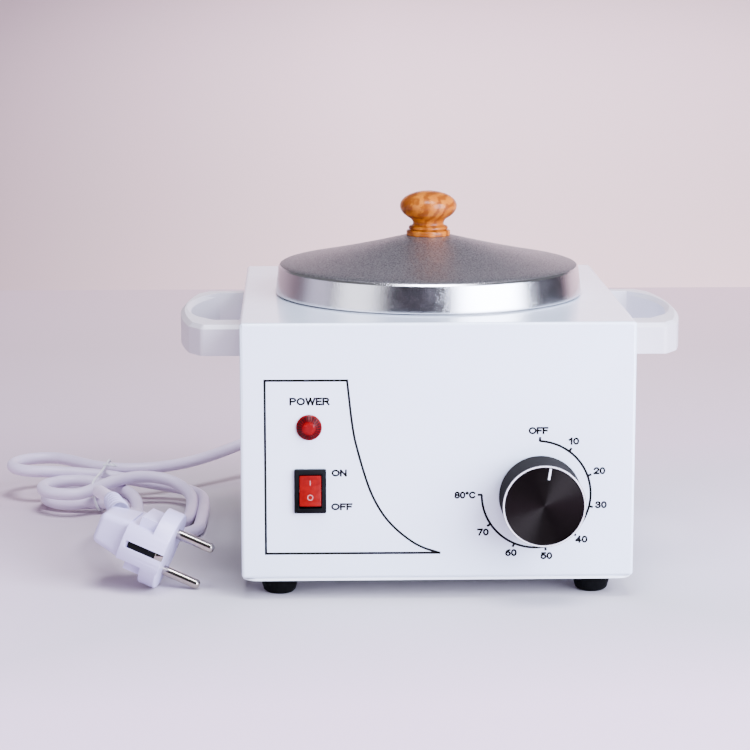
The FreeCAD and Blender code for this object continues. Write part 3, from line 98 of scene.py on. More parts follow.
def joined(name, pieces):
    """Several mesh pieces as one, with each one's finish kept."""
    finishes = []
    shape = bmesh.new()
    for piece in pieces:
        shift = []
        for finish in piece.data.materials:
            if finish not in finishes:
                finishes.append(finish)
            shift.append(finishes.index(finish))
        before = len(shape.faces)
        shape.from_mesh(piece.data)
        shape.faces.ensure_lookup_table()
        for face in shape.faces[before:]:
            face.material_index = shift[face.material_index] if shift else 0
        bpy.data.objects.remove(piece)
    mesh = mesh_of(name, shape)
    for finish in finishes:
        mesh.materials.append(finish)
    return linked(name, mesh)


def give(piece, body, slot, *nodes):
    """Hangs a finished piece on its body and lets it stand for the nodes it dresses."""
    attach(piece, body)
    if nodes:
        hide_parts(*nodes)
    return piece


def softened(corners, steps=5, closed=False):
    """An outline of (across, up, radius) corners with each corner rounded by its radius."""
    line = []
    for index, (across, up, radius) in enumerate(corners):
        here = Vector((across, up))
        if not radius or (not closed and index in (0, len(corners) - 1)):
            line.append(here)
            continue
        back = Vector(corners[index - 1][:2]) - here
        ahead = Vector(corners[(index + 1) % len(corners)][:2]) - here
        half = back.angle(ahead) / 2
        reach = min(radius / math.tan(half), back.length * 0.49, ahead.length * 0.49)
        radius = reach * math.tan(half)
        centre = here + (back.normalized() + ahead.normalized()).normalized() * (radius / math.sin(half))
        first = here + back.normalized() * reach - centre
        last = here + ahead.normalized() * reach - centre
        start = math.atan2(first.y, first.x)
        sweep = (math.atan2(last.y, last.x) - start + math.pi) % math.tau - math.pi
        for step in range(steps + 1):
            angle = start + sweep * step / steps
            line.append(centre + Vector((math.cos(angle), math.sin(angle))) * radius)
    return line


def curved(start, pull, push, end, steps=16):
    """Points along a curve that leaves start towards pull and reaches end from push."""
    line = []
    for step in range(steps + 1):
        t = step / steps
        weights = ((1 - t) ** 3, 3 * (1 - t) ** 2 * t, 3 * (1 - t) * t ** 2, t ** 3)
        line.append(sum((Vector(p) * w for p, w in zip((start, pull, push, end), weights)),
                        Vector((0.0, 0.0))))
    return line


def turned(name, profile, sides=128, closed=False, sharp=35.0):
    """A profile of (radius, height) spun once round Z. An open profile starts and ends on the axis."""
    shape = bmesh.new()
    rings = []
    for radius, height in profile:
        if radius < 1e-6:
            rings.append([shape.verts.new((0.0, 0.0, height * MM))])
            continue
        ring = []
        for side in range(sides):
            angle = math.tau * side / sides
            ring.append(shape.verts.new((radius * MM * math.cos(angle), radius * MM * math.sin(angle),
                                         height * MM)))
        rings.append(ring)
    spans = list(zip(rings, rings[1:]))
    if closed:
        spans.append((rings[-1], rings[0]))
    for low, high in spans:
        if len(low) == 1 and len(high) == 1:
            continue
        for side in range(sides):
            after = (side + 1) % sides
            shape.faces.new(dict.fromkeys((low[side % len(low)], low[after % len(low)],
                                           high[after % len(high)], high[side % len(high)])))
    bmesh.ops.recalc_face_normals(shape, faces=shape.faces)
    return linked(name, mesh_of(name, shape, sharp))


def move(piece, matrix):
    piece.data.transform(matrix)
    if matrix.determinant() < 0:
        piece.data.flip_normals()
    return piece


def facing_front(across, back, up):
    """Puts a shape drawn round Z on the front panel, its Z towards the front."""
    return Matrix.Translation(Vector((across, back, up)) * MM) @ Matrix.Rotation(math.radians(90), 4, "X")


def dressed(node, soften=0.0, steps=3, sharp=30.0, flatten=0.6):
    """A clean copy of a CAD node: doubles merged, flat faces joined and, if asked, edges softened."""
    shape = bmesh.new()
    shape.from_mesh(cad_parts[node].data)
    bmesh.ops.remove_doubles(shape, verts=shape.verts, dist=1e-6)
    if flatten:
        bmesh.ops.dissolve_limit(shape, angle_limit=math.radians(flatten), verts=shape.verts,
                                 edges=shape.edges)
    piece = linked(node + "_finished", mesh_of(node + "_finished", shape, sharp))
    if soften:
        bevel = piece.modifiers.new("soft_edges", "BEVEL")
        bevel.width = soften * MM
        bevel.segments = steps
        bevel.limit_method = "ANGLE"
        bevel.angle_limit = math.radians(sharp)
        bevel.harden_normals = True
        piece = settled(piece)
    return piece


def loft(shape, rings, closed=False):
    """Joins each ring of corners to the next one, and closes the row or caps its two ends."""
    spans = list(zip(rings, rings[1:]))
    if closed:
        spans.append((rings[-1], rings[0]))
    else:
        shape.faces.new(rings[0])
        shape.faces.new(rings[-1])
    for low, high in spans:
        for edge in range(len(low)):
            after = (edge + 1) % len(low)
            shape.faces.new((low[edge], low[after], high[after], high[edge]))
    bmesh.ops.recalc_face_normals(shape, faces=shape.faces)


def on_panel(spot, lift):
    """A place at (across, up) on the front panel, or that far before it."""
    return Vector((spot.x, BOX_FRONT - lift, spot.y)) * MM


def ribbon(points, wide, thick, closed=False, place=on_panel, sunk=0.02, name="printed_line"):
    """A thin strip along (across, up) points, on the face that place puts them on."""
    spots = [Vector(spot) for spot in points]
    count = len(spots)
    shape = bmesh.new()
    rings = []
    for index, spot in enumerate(spots):
        back = spots[index - 1] if closed or index else spot
        ahead = spots[(index + 1) % count] if closed or index < count - 1 else spot
        first = (spot - back).normalized() if back != spot else (ahead - spot).normalized()
        second = (ahead - spot).normalized() if ahead != spot else first
        way = (first + second).normalized()
        side = Vector((-way.y, way.x)) * (wide / 2 / max(0.7, way.dot(first)))
        rings.append([shape.verts.new(place(spot + offset, lift)) for offset, lift in (
            (side, thick), (-side, thick), (-side, -sunk), (side, -sunk))])
    loft(shape, rings, closed)
    return linked(name, mesh_of(name, shape, smooth=False))


def printed(points, wide, thick):
    """A printed line broken at its sharp corners, each run with square ends so that the corners fill."""
    spots = [Vector(points[0])]
    for point in points[1:]:
        if (Vector(point) - spots[-1]).length > 1e-6:
            spots.append(Vector(point))
    runs = [[spots[0]]]
    for index in range(1, len(spots)):
        runs[-1].append(spots[index])
        if index < len(spots) - 1:
            turn = (spots[index] - spots[index - 1]).angle(spots[index + 1] - spots[index])
            if turn > math.radians(40):
                runs.append([spots[index]])
    for run in runs:
        run[0] = run[0] + (run[0] - run[1]).normalized() * wide / 2
        run[-1] = run[-1] + (run[-1] - run[-2]).normalized() * wide / 2
    return [ribbon(run, wide, thick) for run in runs]


def stroke(across, up, wide, tall, start, end):
    """Points of a letter's curved stroke, from one angle to another round an oval."""
    steps = max(3, round(abs(end - start) / 18))
    points = []
    for step in range(steps + 1):
        angle = math.radians(start + (end - start) * step / steps)
        points.append((across + wide * math.cos(angle), up + tall * math.sin(angle)))
    return points


# Plain sans-serif letters: each has its width and its strokes, one unit tall
BOWL = stroke(0.38, 0.75, 0.25, 0.25, 90, -90)
LETTERS = {
    "C": (0.72, [stroke(0.40, 0.5, 0.40, 0.5, 42, 318)]),
    "E": (0.58, [[(0.56, 1), (0, 1), (0, 0), (0.58, 0)], [(0, 0.52), (0.52, 0.52)]]),
    "F": (0.54, [[(0.54, 1), (0, 1), (0, 0)], [(0, 0.50), (0.46, 0.50)]]),
    "N": (0.66, [[(0, 0), (0, 1), (0.66, 0), (0.66, 1)]]),
    "O": (0.84, [stroke(0.42, 0.5, 0.42, 0.5, 0, 360)]),
    "P": (0.63, [[(0, 0), (0, 1)] + BOWL + [(0, 0.5)]]),
    "R": (0.68, [[(0, 0), (0, 1)] + BOWL + [(0, 0.5)], [(0.38, 0.5), (0.68, 0)]]),
    "W": (1.04, [[(0, 1), (0.26, 0), (0.52, 1), (0.78, 0), (1.04, 1)]]),
    "0": (0.56, [stroke(0.28, 0.5, 0.28, 0.5, 0, 360)]),
    "1": (0.30, [[(0, 0.74), (0.26, 1), (0.26, 0)]]),
    "2": (0.56, [stroke(0.28, 0.71, 0.27, 0.29, 170, -35) + [(0, 0), (0.58, 0)]]),
    "3": (0.56, [stroke(0.27, 0.755, 0.24, 0.245, 165, -90) + stroke(0.27, 0.255, 0.28, 0.255, 90, -165)]),
    "4": (0.60, [[(0.44, 0), (0.44, 1), (0, 0.28), (0.60, 0.28)]]),
    "5": (0.56, [[(0.52, 1), (0.1, 1), (0.04, 0.5)] + stroke(0.27, 0.33, 0.29, 0.33, 130, -155)]),
    "6": (0.56, [stroke(0.29, 0.31, 0.27, 0.31, 0, 360), stroke(0.48, 0.34, 0.46, 0.64, 172, 88)]),
    "7": (0.56, [[(0, 1), (0.56, 1), (0.18, 0)]]),
    "8": (0.56, [stroke(0.28, 0.76, 0.24, 0.24, 0, 360), stroke(0.28, 0.26, 0.28, 0.26, 0, 360)]),
    "°": (0.26, [stroke(0.13, 0.86, 0.12, 0.13, 0, 360)]),
}


def lettering(words, across, up, tall, wide, thick, line=0.92):
    """Words centred on (across, up) of the front panel, fitted to a height and a width."""
    gap = 0.26
    length = sum(LETTERS[letter][0] for letter in words) + gap * (len(words) - 1)
    stretch = (wide - line) / length
    left = across - (wide - line) / 2
    pieces = []
    for letter in words:
        breadth, strokes = LETTERS[letter]
        for points in strokes:
            spots = [(left + spot[0] * stretch, up + (spot[1] - 0.5) * (tall - line)) for spot in points]
            if math.dist(spots[0], spots[-1]) < 1e-6:
                pieces.append(ribbon(spots[:-1], line, thick, closed=True))
            else:
                pieces += printed(spots, line, thick)
        left += (breadth + gap) * stretch
    return pieces


# -------------------------------- cord
# Where the free cord runs, from the gland to the hank and from the hank to the plug
FREE_ROUTE = [(-40.0, 119.0, 36.0), (-43.0, 163.0, 32.0), (-84.0, 173.0, 23.5), (-119.0, 138.0, 16.5),
              (-146.0, 118.0, 16.0)]
TAIL_ROUTE = [(-162.5, 52.0, 12.5), (-161.0, 32.0, 19.0), (-169.0, -2.0, 33.5), (-156.4, -40.4, 36.3)]
CORD_RADIUS = 3.2


def fold(across, back, radius, start, end, low, high):
    """Route points round one turn of the hank, every 30 degrees or less, climbing from low to high."""
    steps = max(2, round(abs(end - start) / 30))
    wide = radius / math.cos(math.radians(abs(end - start) / steps / 2))
    points = []
    for step in range(steps + 1):
        share = step / steps
        angle = math.radians(start + (end - start) * share)
        points.append((across + wide * math.cos(angle), back + wide * math.sin(angle),
                       low + (high - low) * share))
    return points


def cord_route():
    """The whole cord's points: out of the gland, seven passes of the tied hank, then on to the plug."""
    route = [(-40.0, 100.0, 36.0)] + FREE_ROUTE + [(-173.0, 118.0, 16.5)]
    route += fold(-205, 122, 17.5, 60, 285, 18, 18)
    route += [(-171, 110.5, 14.5), (-151, 113, 10)]
    route += fold(-138, 90, 21.5, 75, 5, 7, 4.5)
    route += fold(-134, 35, 17, 0, -185, 3.3, 3.3)
    route += [(-150, 62, 3.3), (-152, 80, 8.5), (-160, 94, 10.2), (-171, 101, 11.4)]
    route += fold(-186, 87, 16.8, 70, 290, 13, 13)
    route += [(-166, 86, 16.5), (-151, 99, 16.5)]
    route += fold(-141, 83, 18.5, 75, 5, 14, 6)
    route += fold(-140, 52, 16.5, 0, -95, 3.5, 6)
    route += fold(-140, 52, 16.5, -125, -180, 9.9, 7.6)
    route += [(-158, 72, 3.8)]
    route += fold(-179, 97, 19, 0, 90, 3.3, 5.4)
    route += fold(-186, 100, 16, 95, 260, 4.6, 4.4)
    route += fold(-181, 65, 18.5, 80, 10, 4.9, 7.5)
    return route + TAIL_ROUTE


def add_spline(curve, route, fineness, closed=False):
    """A smooth line in a curve, with the route's points as its control points."""
    spline = curve.splines.new("NURBS")
    spline.points.add(len(route) - 1)
    for spot, place in zip(spline.points, route):
        spot.co = (*(number * MM for number in place), 1.0)
    spline.order_u = 3
    spline.use_endpoint_u = not closed
    spline.use_cyclic_u = closed
    spline.resolution_u = fineness


def round_curve(name, radius, fineness):
    """An empty curve with a round section and closed ends."""
    curve = bpy.data.curves.new(name, "CURVE")
    curve.dimensions = "3D"
    curve.bevel_depth = radius * MM
    curve.bevel_resolution = fineness
    curve.use_fill_caps = True
    return curve


def draw_cord():
    curve = round_curve("power_cord", CORD_RADIUS, 5)
    add_spline(curve, cord_route(), 8)
    return linked("power_cord", curve)


def draw_tie():
    """A coated wire tie pulled round the hank, with its two ends twisted together on top."""
    curve = round_curve("hank_tie", 0.65, 3)
    add_spline(curve, [
        (-170.5, 98.0, 0.9), (-171.0, 113.5, 1.0), (-170.5, 117.9, 3.0), (-169.5, 122.0, 9.5),
        (-169.0, 124.1, 16.5), (-169.0, 122.6, 20.2), (-169.5, 118.5, 21.0), (-171.0, 100.0, 20.0),
        (-173.5, 82.0, 19.5), (-175.0, 76.5, 18.2), (-175.5, 75.0, 14.5), (-174.0, 76.0, 8.0),
        (-172.5, 76.8, 3.2), (-171.0, 81.5, 1.1)], 6, closed=True)
    for phase in (0.0, math.pi):
        twist = []
        for step in range(15):
            share = step / 14
            angle = phase + share * math.tau * 1.5
            swell = 0.75 * (1.0 - 0.15 * share)
            twist.append((-170.5 + 6.0 * share + swell * math.cos(angle),
                          106.0 - 5.0 * share + swell * math.sin(angle),
                          21.3 + 1.2 * share - 0.5 * share * share + 0.3 * math.sin(angle)))
        add_spline(curve, twist, 4)
    return settled(linked("hank_tie_wire", curve))


cord = draw_cord()
tie = draw_tie()


# -------------------------------- finishes
def feed(tree, socket, value):
    """Joins a socket to another one's output, or sets its value."""
    if isinstance(value, bpy.types.NodeSocket):
        tree.links.new(value, socket)
    else:
        socket.default_value = value


class Wiring:
    """Adds the nodes of one tree and joins them."""

    def __init__(self, tree):
        self.tree = tree

    def node(self, kind, inputs=(), **settings):
        made = self.tree.nodes.new(kind)
        for name, value in settings.items():
            setattr(made, name, value)
        for socket, value in dict(inputs).items():
            feed(self.tree, made.inputs[socket], value)
        return made

    def sum(self, operation, first, second=0.0):
        return self.node("ShaderNodeMath", {0: first, 1: second}, operation=operation).outputs[0]

    def vector(self, **parts):
        return self.node("ShaderNodeCombineXYZ", parts).outputs[0]

    def ramp(self, value, low, high, bottom=0.0, top=1.0):
        return self.node("ShaderNodeMapRange", {"Value": value, "From Min": low, "From Max": high,
                                                "To Min": bottom, "To Max": top}).outputs["Result"]

    def blend(self, share, first, second):
        return self.node("ShaderNodeMix", {0: share, 6: first, 7: second}, data_type="RGBA").outputs[2]

    def noise(self, vector, scale, detail, roughness=0.5, distortion=0.0):
        return self.node("ShaderNodeTexNoise", {
            "Vector": vector, "Scale": scale, "Detail": detail, "Roughness": roughness,
            "Distortion": distortion}).outputs["Fac"]


def add_socket(tree, label, kind, side="INPUT"):
    return tree.interface.new_socket(name=label, in_out=side, socket_type="NodeSocket" + kind)


def effect_group(name, values, build):
    """A shader node group: build wires its outputs from the inputs (label: starting value)."""
    tree = bpy.data.node_groups.new(name, "ShaderNodeTree")
    add_socket(tree, "Vector", "Vector")
    for label, value in values.items():
        add_socket(tree, label, "Float" if isinstance(value, float) else "Color").default_value = value
    wiring = Wiring(tree)
    made = build(wiring, wiring.node("NodeGroupInput").outputs)
    for label in made:
        add_socket(tree, label, "Color" if label == "Colour" else "Float", "OUTPUT")
    wiring.node("NodeGroupOutput", made)
    return tree


def tone_drift(wiring, given):
    """Slow change between two tones of one colour."""
    cloud = wiring.noise(given["Vector"], given["Scale"], 3.0, 0.55)
    return {"Colour": wiring.blend(wiring.ramp(cloud, 0.35, 0.68), given["Colour"], given["Shade"])}


def gloss_drift(wiring, given):
    """Roughness that wanders between its least and most, as handled surfaces do."""
    cloud = wiring.noise(given["Vector"], given["Scale"], 5.0, 0.6)
    return {"Roughness": wiring.ramp(cloud, 0.3, 0.7, given["Least"], given["Most"])}


def fine_grain(wiring, given):
    """Height of a fine all-over grain: orange peel, moulded texture or blasted metal."""
    broad = wiring.noise(given["Vector"], given["Scale"], 2.0, given["Sharpness"])
    close = wiring.noise(given["Vector"], wiring.sum("MULTIPLY", given["Scale"], 3.1), 2.0,
                         given["Sharpness"])
    return {"Height": wiring.sum("ADD", broad, wiring.sum("MULTIPLY", close, 0.35))}


def turning_lines(wiring, given):
    """Height of the fine rings that a lathe leaves round the Z axis of the vector it is given."""
    parts = wiring.node("ShaderNodeSeparateXYZ", {0: given["Vector"]}).outputs
    squares = [wiring.sum("MULTIPLY", part, part) for part in (parts[0], parts[1])]
    turns = wiring.sum("DIVIDE", wiring.sum("SQRT", wiring.sum("ADD", *squares)), given["Pitch"])
    wave = wiring.sum("SINE", wiring.sum("MULTIPLY", turns, math.tau))
    stray = wiring.node("ShaderNodeTexNoise", {"W": turns, "Scale": 1.7, "Detail": 3.0},
                        noise_dimensions="1D").outputs["Fac"]
    return {"Height": wiring.sum("ADD", wiring.sum("MULTIPLY", wave, 0.35), stray), "Ring": stray}


PLAIN_GREY = (0.5, 0.5, 0.5, 1.0)
EFFECTS = {
    "tone": effect_group("tone_drift", {"Colour": PLAIN_GREY, "Shade": PLAIN_GREY, "Scale": 20.0},
                         tone_drift),
    "gloss": effect_group("gloss_drift", {"Least": 0.3, "Most": 0.4, "Scale": 60.0}, gloss_drift),
    "grain": effect_group("fine_grain", {"Scale": 900.0, "Sharpness": 0.5}, fine_grain),
    "rings": effect_group("turning_lines", {"Pitch": 0.0005}, turning_lines),
}


def colour(red, green, blue):
    """A colour from its display values, 0 to 255."""
    values = []
    for value in (red, green, blue):
        share = value / 255
        values.append(share / 12.92 if share <= 0.04045 else ((share + 0.055) / 1.055) ** 2.4)
    return (*values, 1.0)


class Finish:
    """One material: its shader, its coordinates and its effects."""

    def __init__(self, name):
        self.material = bpy.data.materials.new(name)
        self.material.use_nodes = True
        self.wiring = Wiring(self.material.node_tree)
        self.shader = self.material.node_tree.nodes["Principled BSDF"]
        self.place = self.wiring.node("ShaderNodeTexCoord").outputs["Object"]

    def set(self, **values):
        """Feeds the shader's inputs and hands over the material."""
        for name, value in values.items():
            feed(self.wiring.tree, self.shader.inputs[name.replace("_", " ")], value)
        return self.material

    def effect(self, kind, **inputs):
        return self.wiring.node("ShaderNodeGroup", {"Vector": self.place, **inputs},
                                node_tree=EFFECTS[kind]).outputs

    def tone(self, first, second, scale):
        return self.effect("tone", Colour=colour(*first), Shade=colour(*second), Scale=scale)["Colour"]

    def gloss(self, least, most, scale):
        return self.effect("gloss", Least=least, Most=most, Scale=scale)["Roughness"]

    def moved(self, location, rotation, scale=(1.0, 1.0, 1.0)):
        """The object coordinates centred, turned or stretched for one piece's pattern."""
        return self.wiring.node("ShaderNodeMapping", {
            "Vector": self.place, "Location": location, "Rotation": rotation, "Scale": scale},
            vector_type="TEXTURE").outputs[0]

    def bump(self, height, distance):
        return self.wiring.node("ShaderNodeBump", {
            "Height": height, "Distance": distance * MM, "Strength": 1.0}).outputs["Normal"]


def plain_finish(name, tone, shade, gloss, grain, drift=18.0, metal=0.0, shine=0.5):
    """Paint, plastic, rubber or metal: two tones, a range of gloss and a grain of (size, height)."""
    finish = Finish(name)
    size, height = grain
    bumps = finish.effect("grain", Scale=1.0 / (size * MM), Sharpness=0.5)["Height"]
    return finish.set(
        Base_Color=finish.tone(tone, shade, drift), Roughness=finish.gloss(*gloss, drift * 4),
        Metallic=metal, Specular_IOR_Level=shine, Normal=finish.bump(bumps, height))


def enamel(name, tone, shade):
    """Stove enamel: glossy, with a faint orange peel."""
    finish = Finish(name)
    peel = finish.effect("grain", Scale=260.0, Sharpness=0.3)["Height"]
    return finish.set(Base_Color=finish.tone(tone, shade, 7.0), Roughness=finish.gloss(0.16, 0.22, 40.0),
                      Coat_Weight=0.7, Coat_Roughness=0.04, Normal=finish.bump(peel, 0.012))


def blasted_lid(name):
    """Aluminium blasted with fine grit: a soft sheen with tiny bright grains, in tones darkened partly as
    painted shade.
    """
    finish = Finish(name)
    wiring = finish.wiring
    grit = finish.effect("grain", Scale=1300.0, Sharpness=0.7)["Height"]
    sparkle = wiring.node("ShaderNodeTexVoronoi", {"Vector": finish.place, "Scale": 1100.0})
    glint = wiring.ramp(sparkle.outputs["Distance"], 0.0, 0.5, 0.28, 0.46)
    # Tones far darker than bare aluminium: partly the blasted finish, partly painted shade for the dim
    # surroundings that the dome reflects.
    tone = finish.tone((122, 118, 120), (115, 111, 114), 14.0)
    fleck = wiring.blend(wiring.ramp(grit, 0.58, 0.78, 0.0, 0.75), tone, colour(184, 180, 183))
    return finish.set(Base_Color=fleck, Metallic=1.0, Roughness=glint, Normal=finish.bump(grit, 0.05))


def polished_skirt(name):
    """The lid's skirt: brighter and smoother than its dome, with a coarse grain that catches the light."""
    finish = Finish(name)
    grit = finish.effect("grain", Scale=1500.0, Sharpness=0.7)["Height"]
    return finish.set(Base_Color=finish.tone((226, 225, 227), (216, 214, 217), 30.0), Metallic=1.0,
                      Roughness=finish.gloss(0.13, 0.2, 160.0), Normal=finish.bump(grit, 0.06))


def spun_metal(name, tone, shade, gloss, pitch):
    """Metal with the lathe's rings round the pot's axis."""
    finish = Finish(name)
    rings = finish.effect("rings", Pitch=pitch * MM)
    mixed = finish.wiring.blend(finish.wiring.ramp(rings["Ring"], 0.35, 0.65), colour(*tone),
                                colour(*shade))
    return finish.set(Base_Color=mixed, Metallic=1.0, Roughness=finish.gloss(*gloss, 90.0),
                      Normal=finish.bump(rings["Height"], 0.006))


def brushed_disc(name, tone, shade, centre):
    """Dark metal brushed in circles round a forward axis, so that light gathers in radial streaks."""
    finish = Finish(name)
    vector = finish.moved(tuple(number * MM for number in centre), (math.radians(90), 0.0, 0.0))
    rings = finish.effect("rings", Vector=vector, Pitch=0.3 * MM)
    mixed = finish.wiring.blend(finish.wiring.ramp(rings["Ring"], 0.3, 0.7), colour(*tone), colour(*shade))
    tangent = finish.wiring.node("ShaderNodeTangent", direction_type="RADIAL", axis="Y").outputs[0]
    return finish.set(
        Base_Color=mixed, Metallic=1.0, Anisotropic=0.97, Anisotropic_Rotation=0.25, Tangent=tangent,
        Roughness=finish.gloss(0.36, 0.42, 90.0), Normal=finish.bump(rings["Height"], 0.002))


def turned_wood(name):
    """Varnished wood: bands of growth that swirl round the knob, with fine dark pores."""
    finish = Finish(name)
    wiring = finish.wiring
    bent = finish.moved((0.004, 0.011, 0.150), (0.9, 0.5, 0.3))
    swirl = wiring.noise(bent, 70.0, 3.0, distortion=0.6)
    bands = wiring.node("ShaderNodeTexWave", {"Vector": bent, "Scale": 60.0, "Distortion": 8.0,
                                              "Detail": 3.0, "Detail Scale": 1.6, "Detail Roughness": 0.6},
                        wave_type="RINGS", rings_direction="Z")
    light = wiring.blend(wiring.ramp(swirl, 0.35, 0.65), colour(178, 102, 18), colour(152, 78, 12))
    grown = wiring.blend(wiring.ramp(bands.outputs["Fac"], 0.25, 0.9, 0.0, 0.75), light,
                         colour(104, 44, 8))
    stretched = finish.moved((0.0, 0.0, 0.0), (0.9, 0.5, 0.3), (1.0, 1.0, 5.0))
    pores = wiring.noise(stretched, 1500.0, 2.0)
    tone = wiring.blend(wiring.ramp(pores, 0.60, 0.74, 0.0, 0.55), grown, colour(84, 36, 14))
    return finish.set(
        Base_Color=tone, Coat_Weight=0.16, Coat_Roughness=0.06, Specular_IOR_Level=0.12,
        Roughness=finish.gloss(0.30, 0.42, 200.0), Normal=finish.bump(pores, 0.01))


def clear_red(name, tone, shade, glow, coat=0.05, rough=0.2):
    """Red see-through plastic with a glow: the lamp's lens glows from the lamp behind it, the rocker's glow
    is painted.
    """
    finish = Finish(name)
    red = finish.tone(tone, shade, 420.0)
    return finish.set(
        Base_Color=red, Transmission_Weight=0.15, IOR=1.49, Coat_Weight=coat, Coat_Roughness=0.06,
        Specular_IOR_Level=0.0, Emission_Color=red, Emission_Strength=glow,
        Roughness=finish.gloss(rough, rough + 0.1, 300.0),
        Normal=finish.bump(finish.effect("grain", Scale=700.0)["Height"], 0.008))


def glass_cloth(name):
    """Woven glass-fibre sleeving."""
    finish = Finish(name)
    wiring = finish.wiring
    threads = [wiring.node("ShaderNodeTexWave", {
        "Vector": finish.place, "Scale": 150.0, "Distortion": 1.0}, bands_direction=way).outputs["Fac"]
        for way in ("Z", "DIAGONAL")]
    weave = wiring.sum("MAXIMUM", *threads)
    tone = wiring.blend(weave, colour(196, 188, 170), colour(236, 232, 220))
    return finish.set(Base_Color=tone, Roughness=wiring.ramp(weave, 0.0, 1.0, 0.95, 0.75),
                      Normal=finish.bump(weave, 0.25))


# Display tones 0 to 255, the least and most roughness, grain size and height, pattern scale, metal, shine
PLAIN_FINISHES = {
    "plate_white": ((228, 230, 235), (221, 223, 229), (0.3, 0.4), (0.5, 0.02)),
    "foot_rubber": ((7, 7, 8), (11, 11, 12), (0.6, 0.75), (0.4, 0.03), 60.0, 0.0, 0.05),
    "zinc_steel": ((190, 190, 184), (172, 170, 160), (0.25, 0.4), (0.3, 0.006), 300.0, 1.0),
    "handle_plastic": ((200, 194, 198), (195, 189, 193), (0.3, 0.38), (0.35, 0.012), 22.0),
    "mica_band": ((186, 168, 130), (150, 132, 98), (0.3, 0.5), (1.2, 0.02), 90.0),
    "ceramic": ((240, 238, 230), (228, 225, 214), (0.15, 0.3), (0.8, 0.01), 80.0),
    "brass": ((214, 178, 96), (188, 148, 70), (0.2, 0.35), (0.3, 0.005), 260.0, 1.0),
    "copper": ((196, 120, 84), (168, 96, 64), (0.2, 0.35), (0.3, 0.005), 240.0, 1.0),
    "black_plastic": ((8, 8, 9), (13, 13, 14), (0.34, 0.44), (0.3, 0.012), 70.0, 0.0, 0.06),
    "dial_black": ((36, 35, 35), (41, 40, 40), (0.4, 0.5), (0.25, 0.012), 60.0, 0.0, 0.0),
    "dial_metal": ((236, 236, 236), (224, 224, 224), (0.25, 0.32), (0.3, 0.003), 300.0, 0.45),
    "pointer_white": ((238, 238, 238), (226, 226, 228), (0.35, 0.45), (0.3, 0.01), 300.0),
    "mark_pale": ((168, 112, 110), (150, 98, 96), (0.4, 0.5), (0.2, 0.004), 300.0, 0.0, 0.2),
    "wire_brown": ((104, 62, 40), (90, 52, 34), (0.35, 0.5), (0.5, 0.01), 90.0),
    "wire_blue": ((52, 92, 168), (42, 80, 150), (0.35, 0.5), (0.5, 0.01), 90.0),
    "wire_green": ((96, 156, 62), (206, 190, 52), (0.35, 0.5), (0.5, 0.01), 60.0),
    "cord_white": ((220, 205, 228), (212, 197, 221), (0.34, 0.46), (0.7, 0.02), 26.0),
    "plug_white": ((190, 180, 214), (184, 174, 209), (0.32, 0.42), (0.4, 0.012), 30.0),
    "pin_nickel": ((176, 168, 158), (160, 152, 144), (0.1, 0.16), (0.5, 0.004), 160.0, 1.0),
    "tie_white": ((232, 232, 236), (216, 216, 222), (0.3, 0.45), (0.3, 0.02), 120.0),
    "ink_black": ((6, 6, 7), (11, 11, 12), (0.6, 0.7), (0.2, 0.004), 300.0, 0.0, 0.1),
}
FINISHES = {name: plain_finish(name, *values) for name, values in PLAIN_FINISHES.items()}
FINISHES.update({
    "shell_white": enamel("shell_white", (224, 232, 246), (221, 229, 244)),
    "lid_aluminium": blasted_lid("lid_aluminium"),
    "skirt_aluminium": polished_skirt("skirt_aluminium"),
    "knob_wood": turned_wood("knob_wood"),
    "pot_aluminium": spun_metal("pot_aluminium", (222, 222, 224), (206, 206, 209), (0.2, 0.3), 0.9),
    "well_aluminium": spun_metal("well_aluminium", (208, 208, 210), (186, 186, 189), (0.28, 0.4), 1.1),
    "glass_fibre": glass_cloth("glass_fibre"),
    "dial_face": brushed_disc("dial_face", (27, 24, 23), (21, 19, 18), (DIAL_X, BOX_FRONT, DIAL_Z)),
    "lamp_red": clear_red("lamp_red", (122, 5, 10), (104, 3, 8), 0.1),
    # The lens's own clear red, darker: painted shade for its faceted ring.
    "lamp_red_painted_shade": clear_red("lamp_red_painted_shade", (46, 2, 6), (30, 1, 4), 0.0, 0.0, 0.35),
    # The rocker has no lamp behind it: its glow is a painted glow.
    "rocker_red": clear_red("rocker_red", (126, 6, 6), (108, 5, 5), 0.08, 0.03, 0.35),
})


def paint(piece, *names):
    """Gives a piece its finishes, the first one for all its faces unless they say otherwise."""
    piece.data.materials.clear()
    for name in names:
        piece.data.materials.append(FINISHES[name])
    return piece


def paint_parts(piece, first, second, test):
    """One finish for a piece, and another for the faces whose middle, in millimetres, passes the test."""
    paint(piece, first, second)
    for face in piece.data.polygons:
        face.material_index = int(test(face.center / MM))
    return piece


def dress(node, finish, body="housing", **shaping):
    """A CAD node's clean copy with its finish, in the node's place."""
    return give(paint(dressed(node, **shaping), finish), body, finish, node)


def carry_over(node, name):
    """Keeps a CAD node's own shape and gives it a finish."""
    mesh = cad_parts[node].data
    if not mesh.materials:
        mesh.materials.append(None)
    for index in range(len(mesh.materials)):
        mesh.materials[index] = FINISHES[name]


# -------------------------------- casing
def fold_edge(piece, level, soften):
    """Rounds the outer edges that lie at one height, as a folded sheet's edge is."""
    shape = bmesh.new()
    shape.from_mesh(piece.data)
    low = []
    for edge in shape.edges:
        first, second = (vertex.co / MM for vertex in edge.verts)
        middle = (first + second) / 2
        if (abs(first.z - level) < 0.01 and abs(second.z - level) < 0.01
                and (abs(middle.x) > SHELL_HALF - 0.01 or abs(middle.y) > -BOX_FRONT - 0.01)):
            low.append(edge)
    bmesh.ops.bevel(shape, geom=low, offset=soften * MM, segments=4, affect="EDGES", profile=0.5)
    shape.to_mesh(piece.data)
    shape.free()
    smoothed(piece.data, 24.0)


SEAM_TALL, SEAM_DEEP = 0.35, 1.0
PLATE_EDGE_X, PLATE_EDGE_Y = 86.0, 91.5


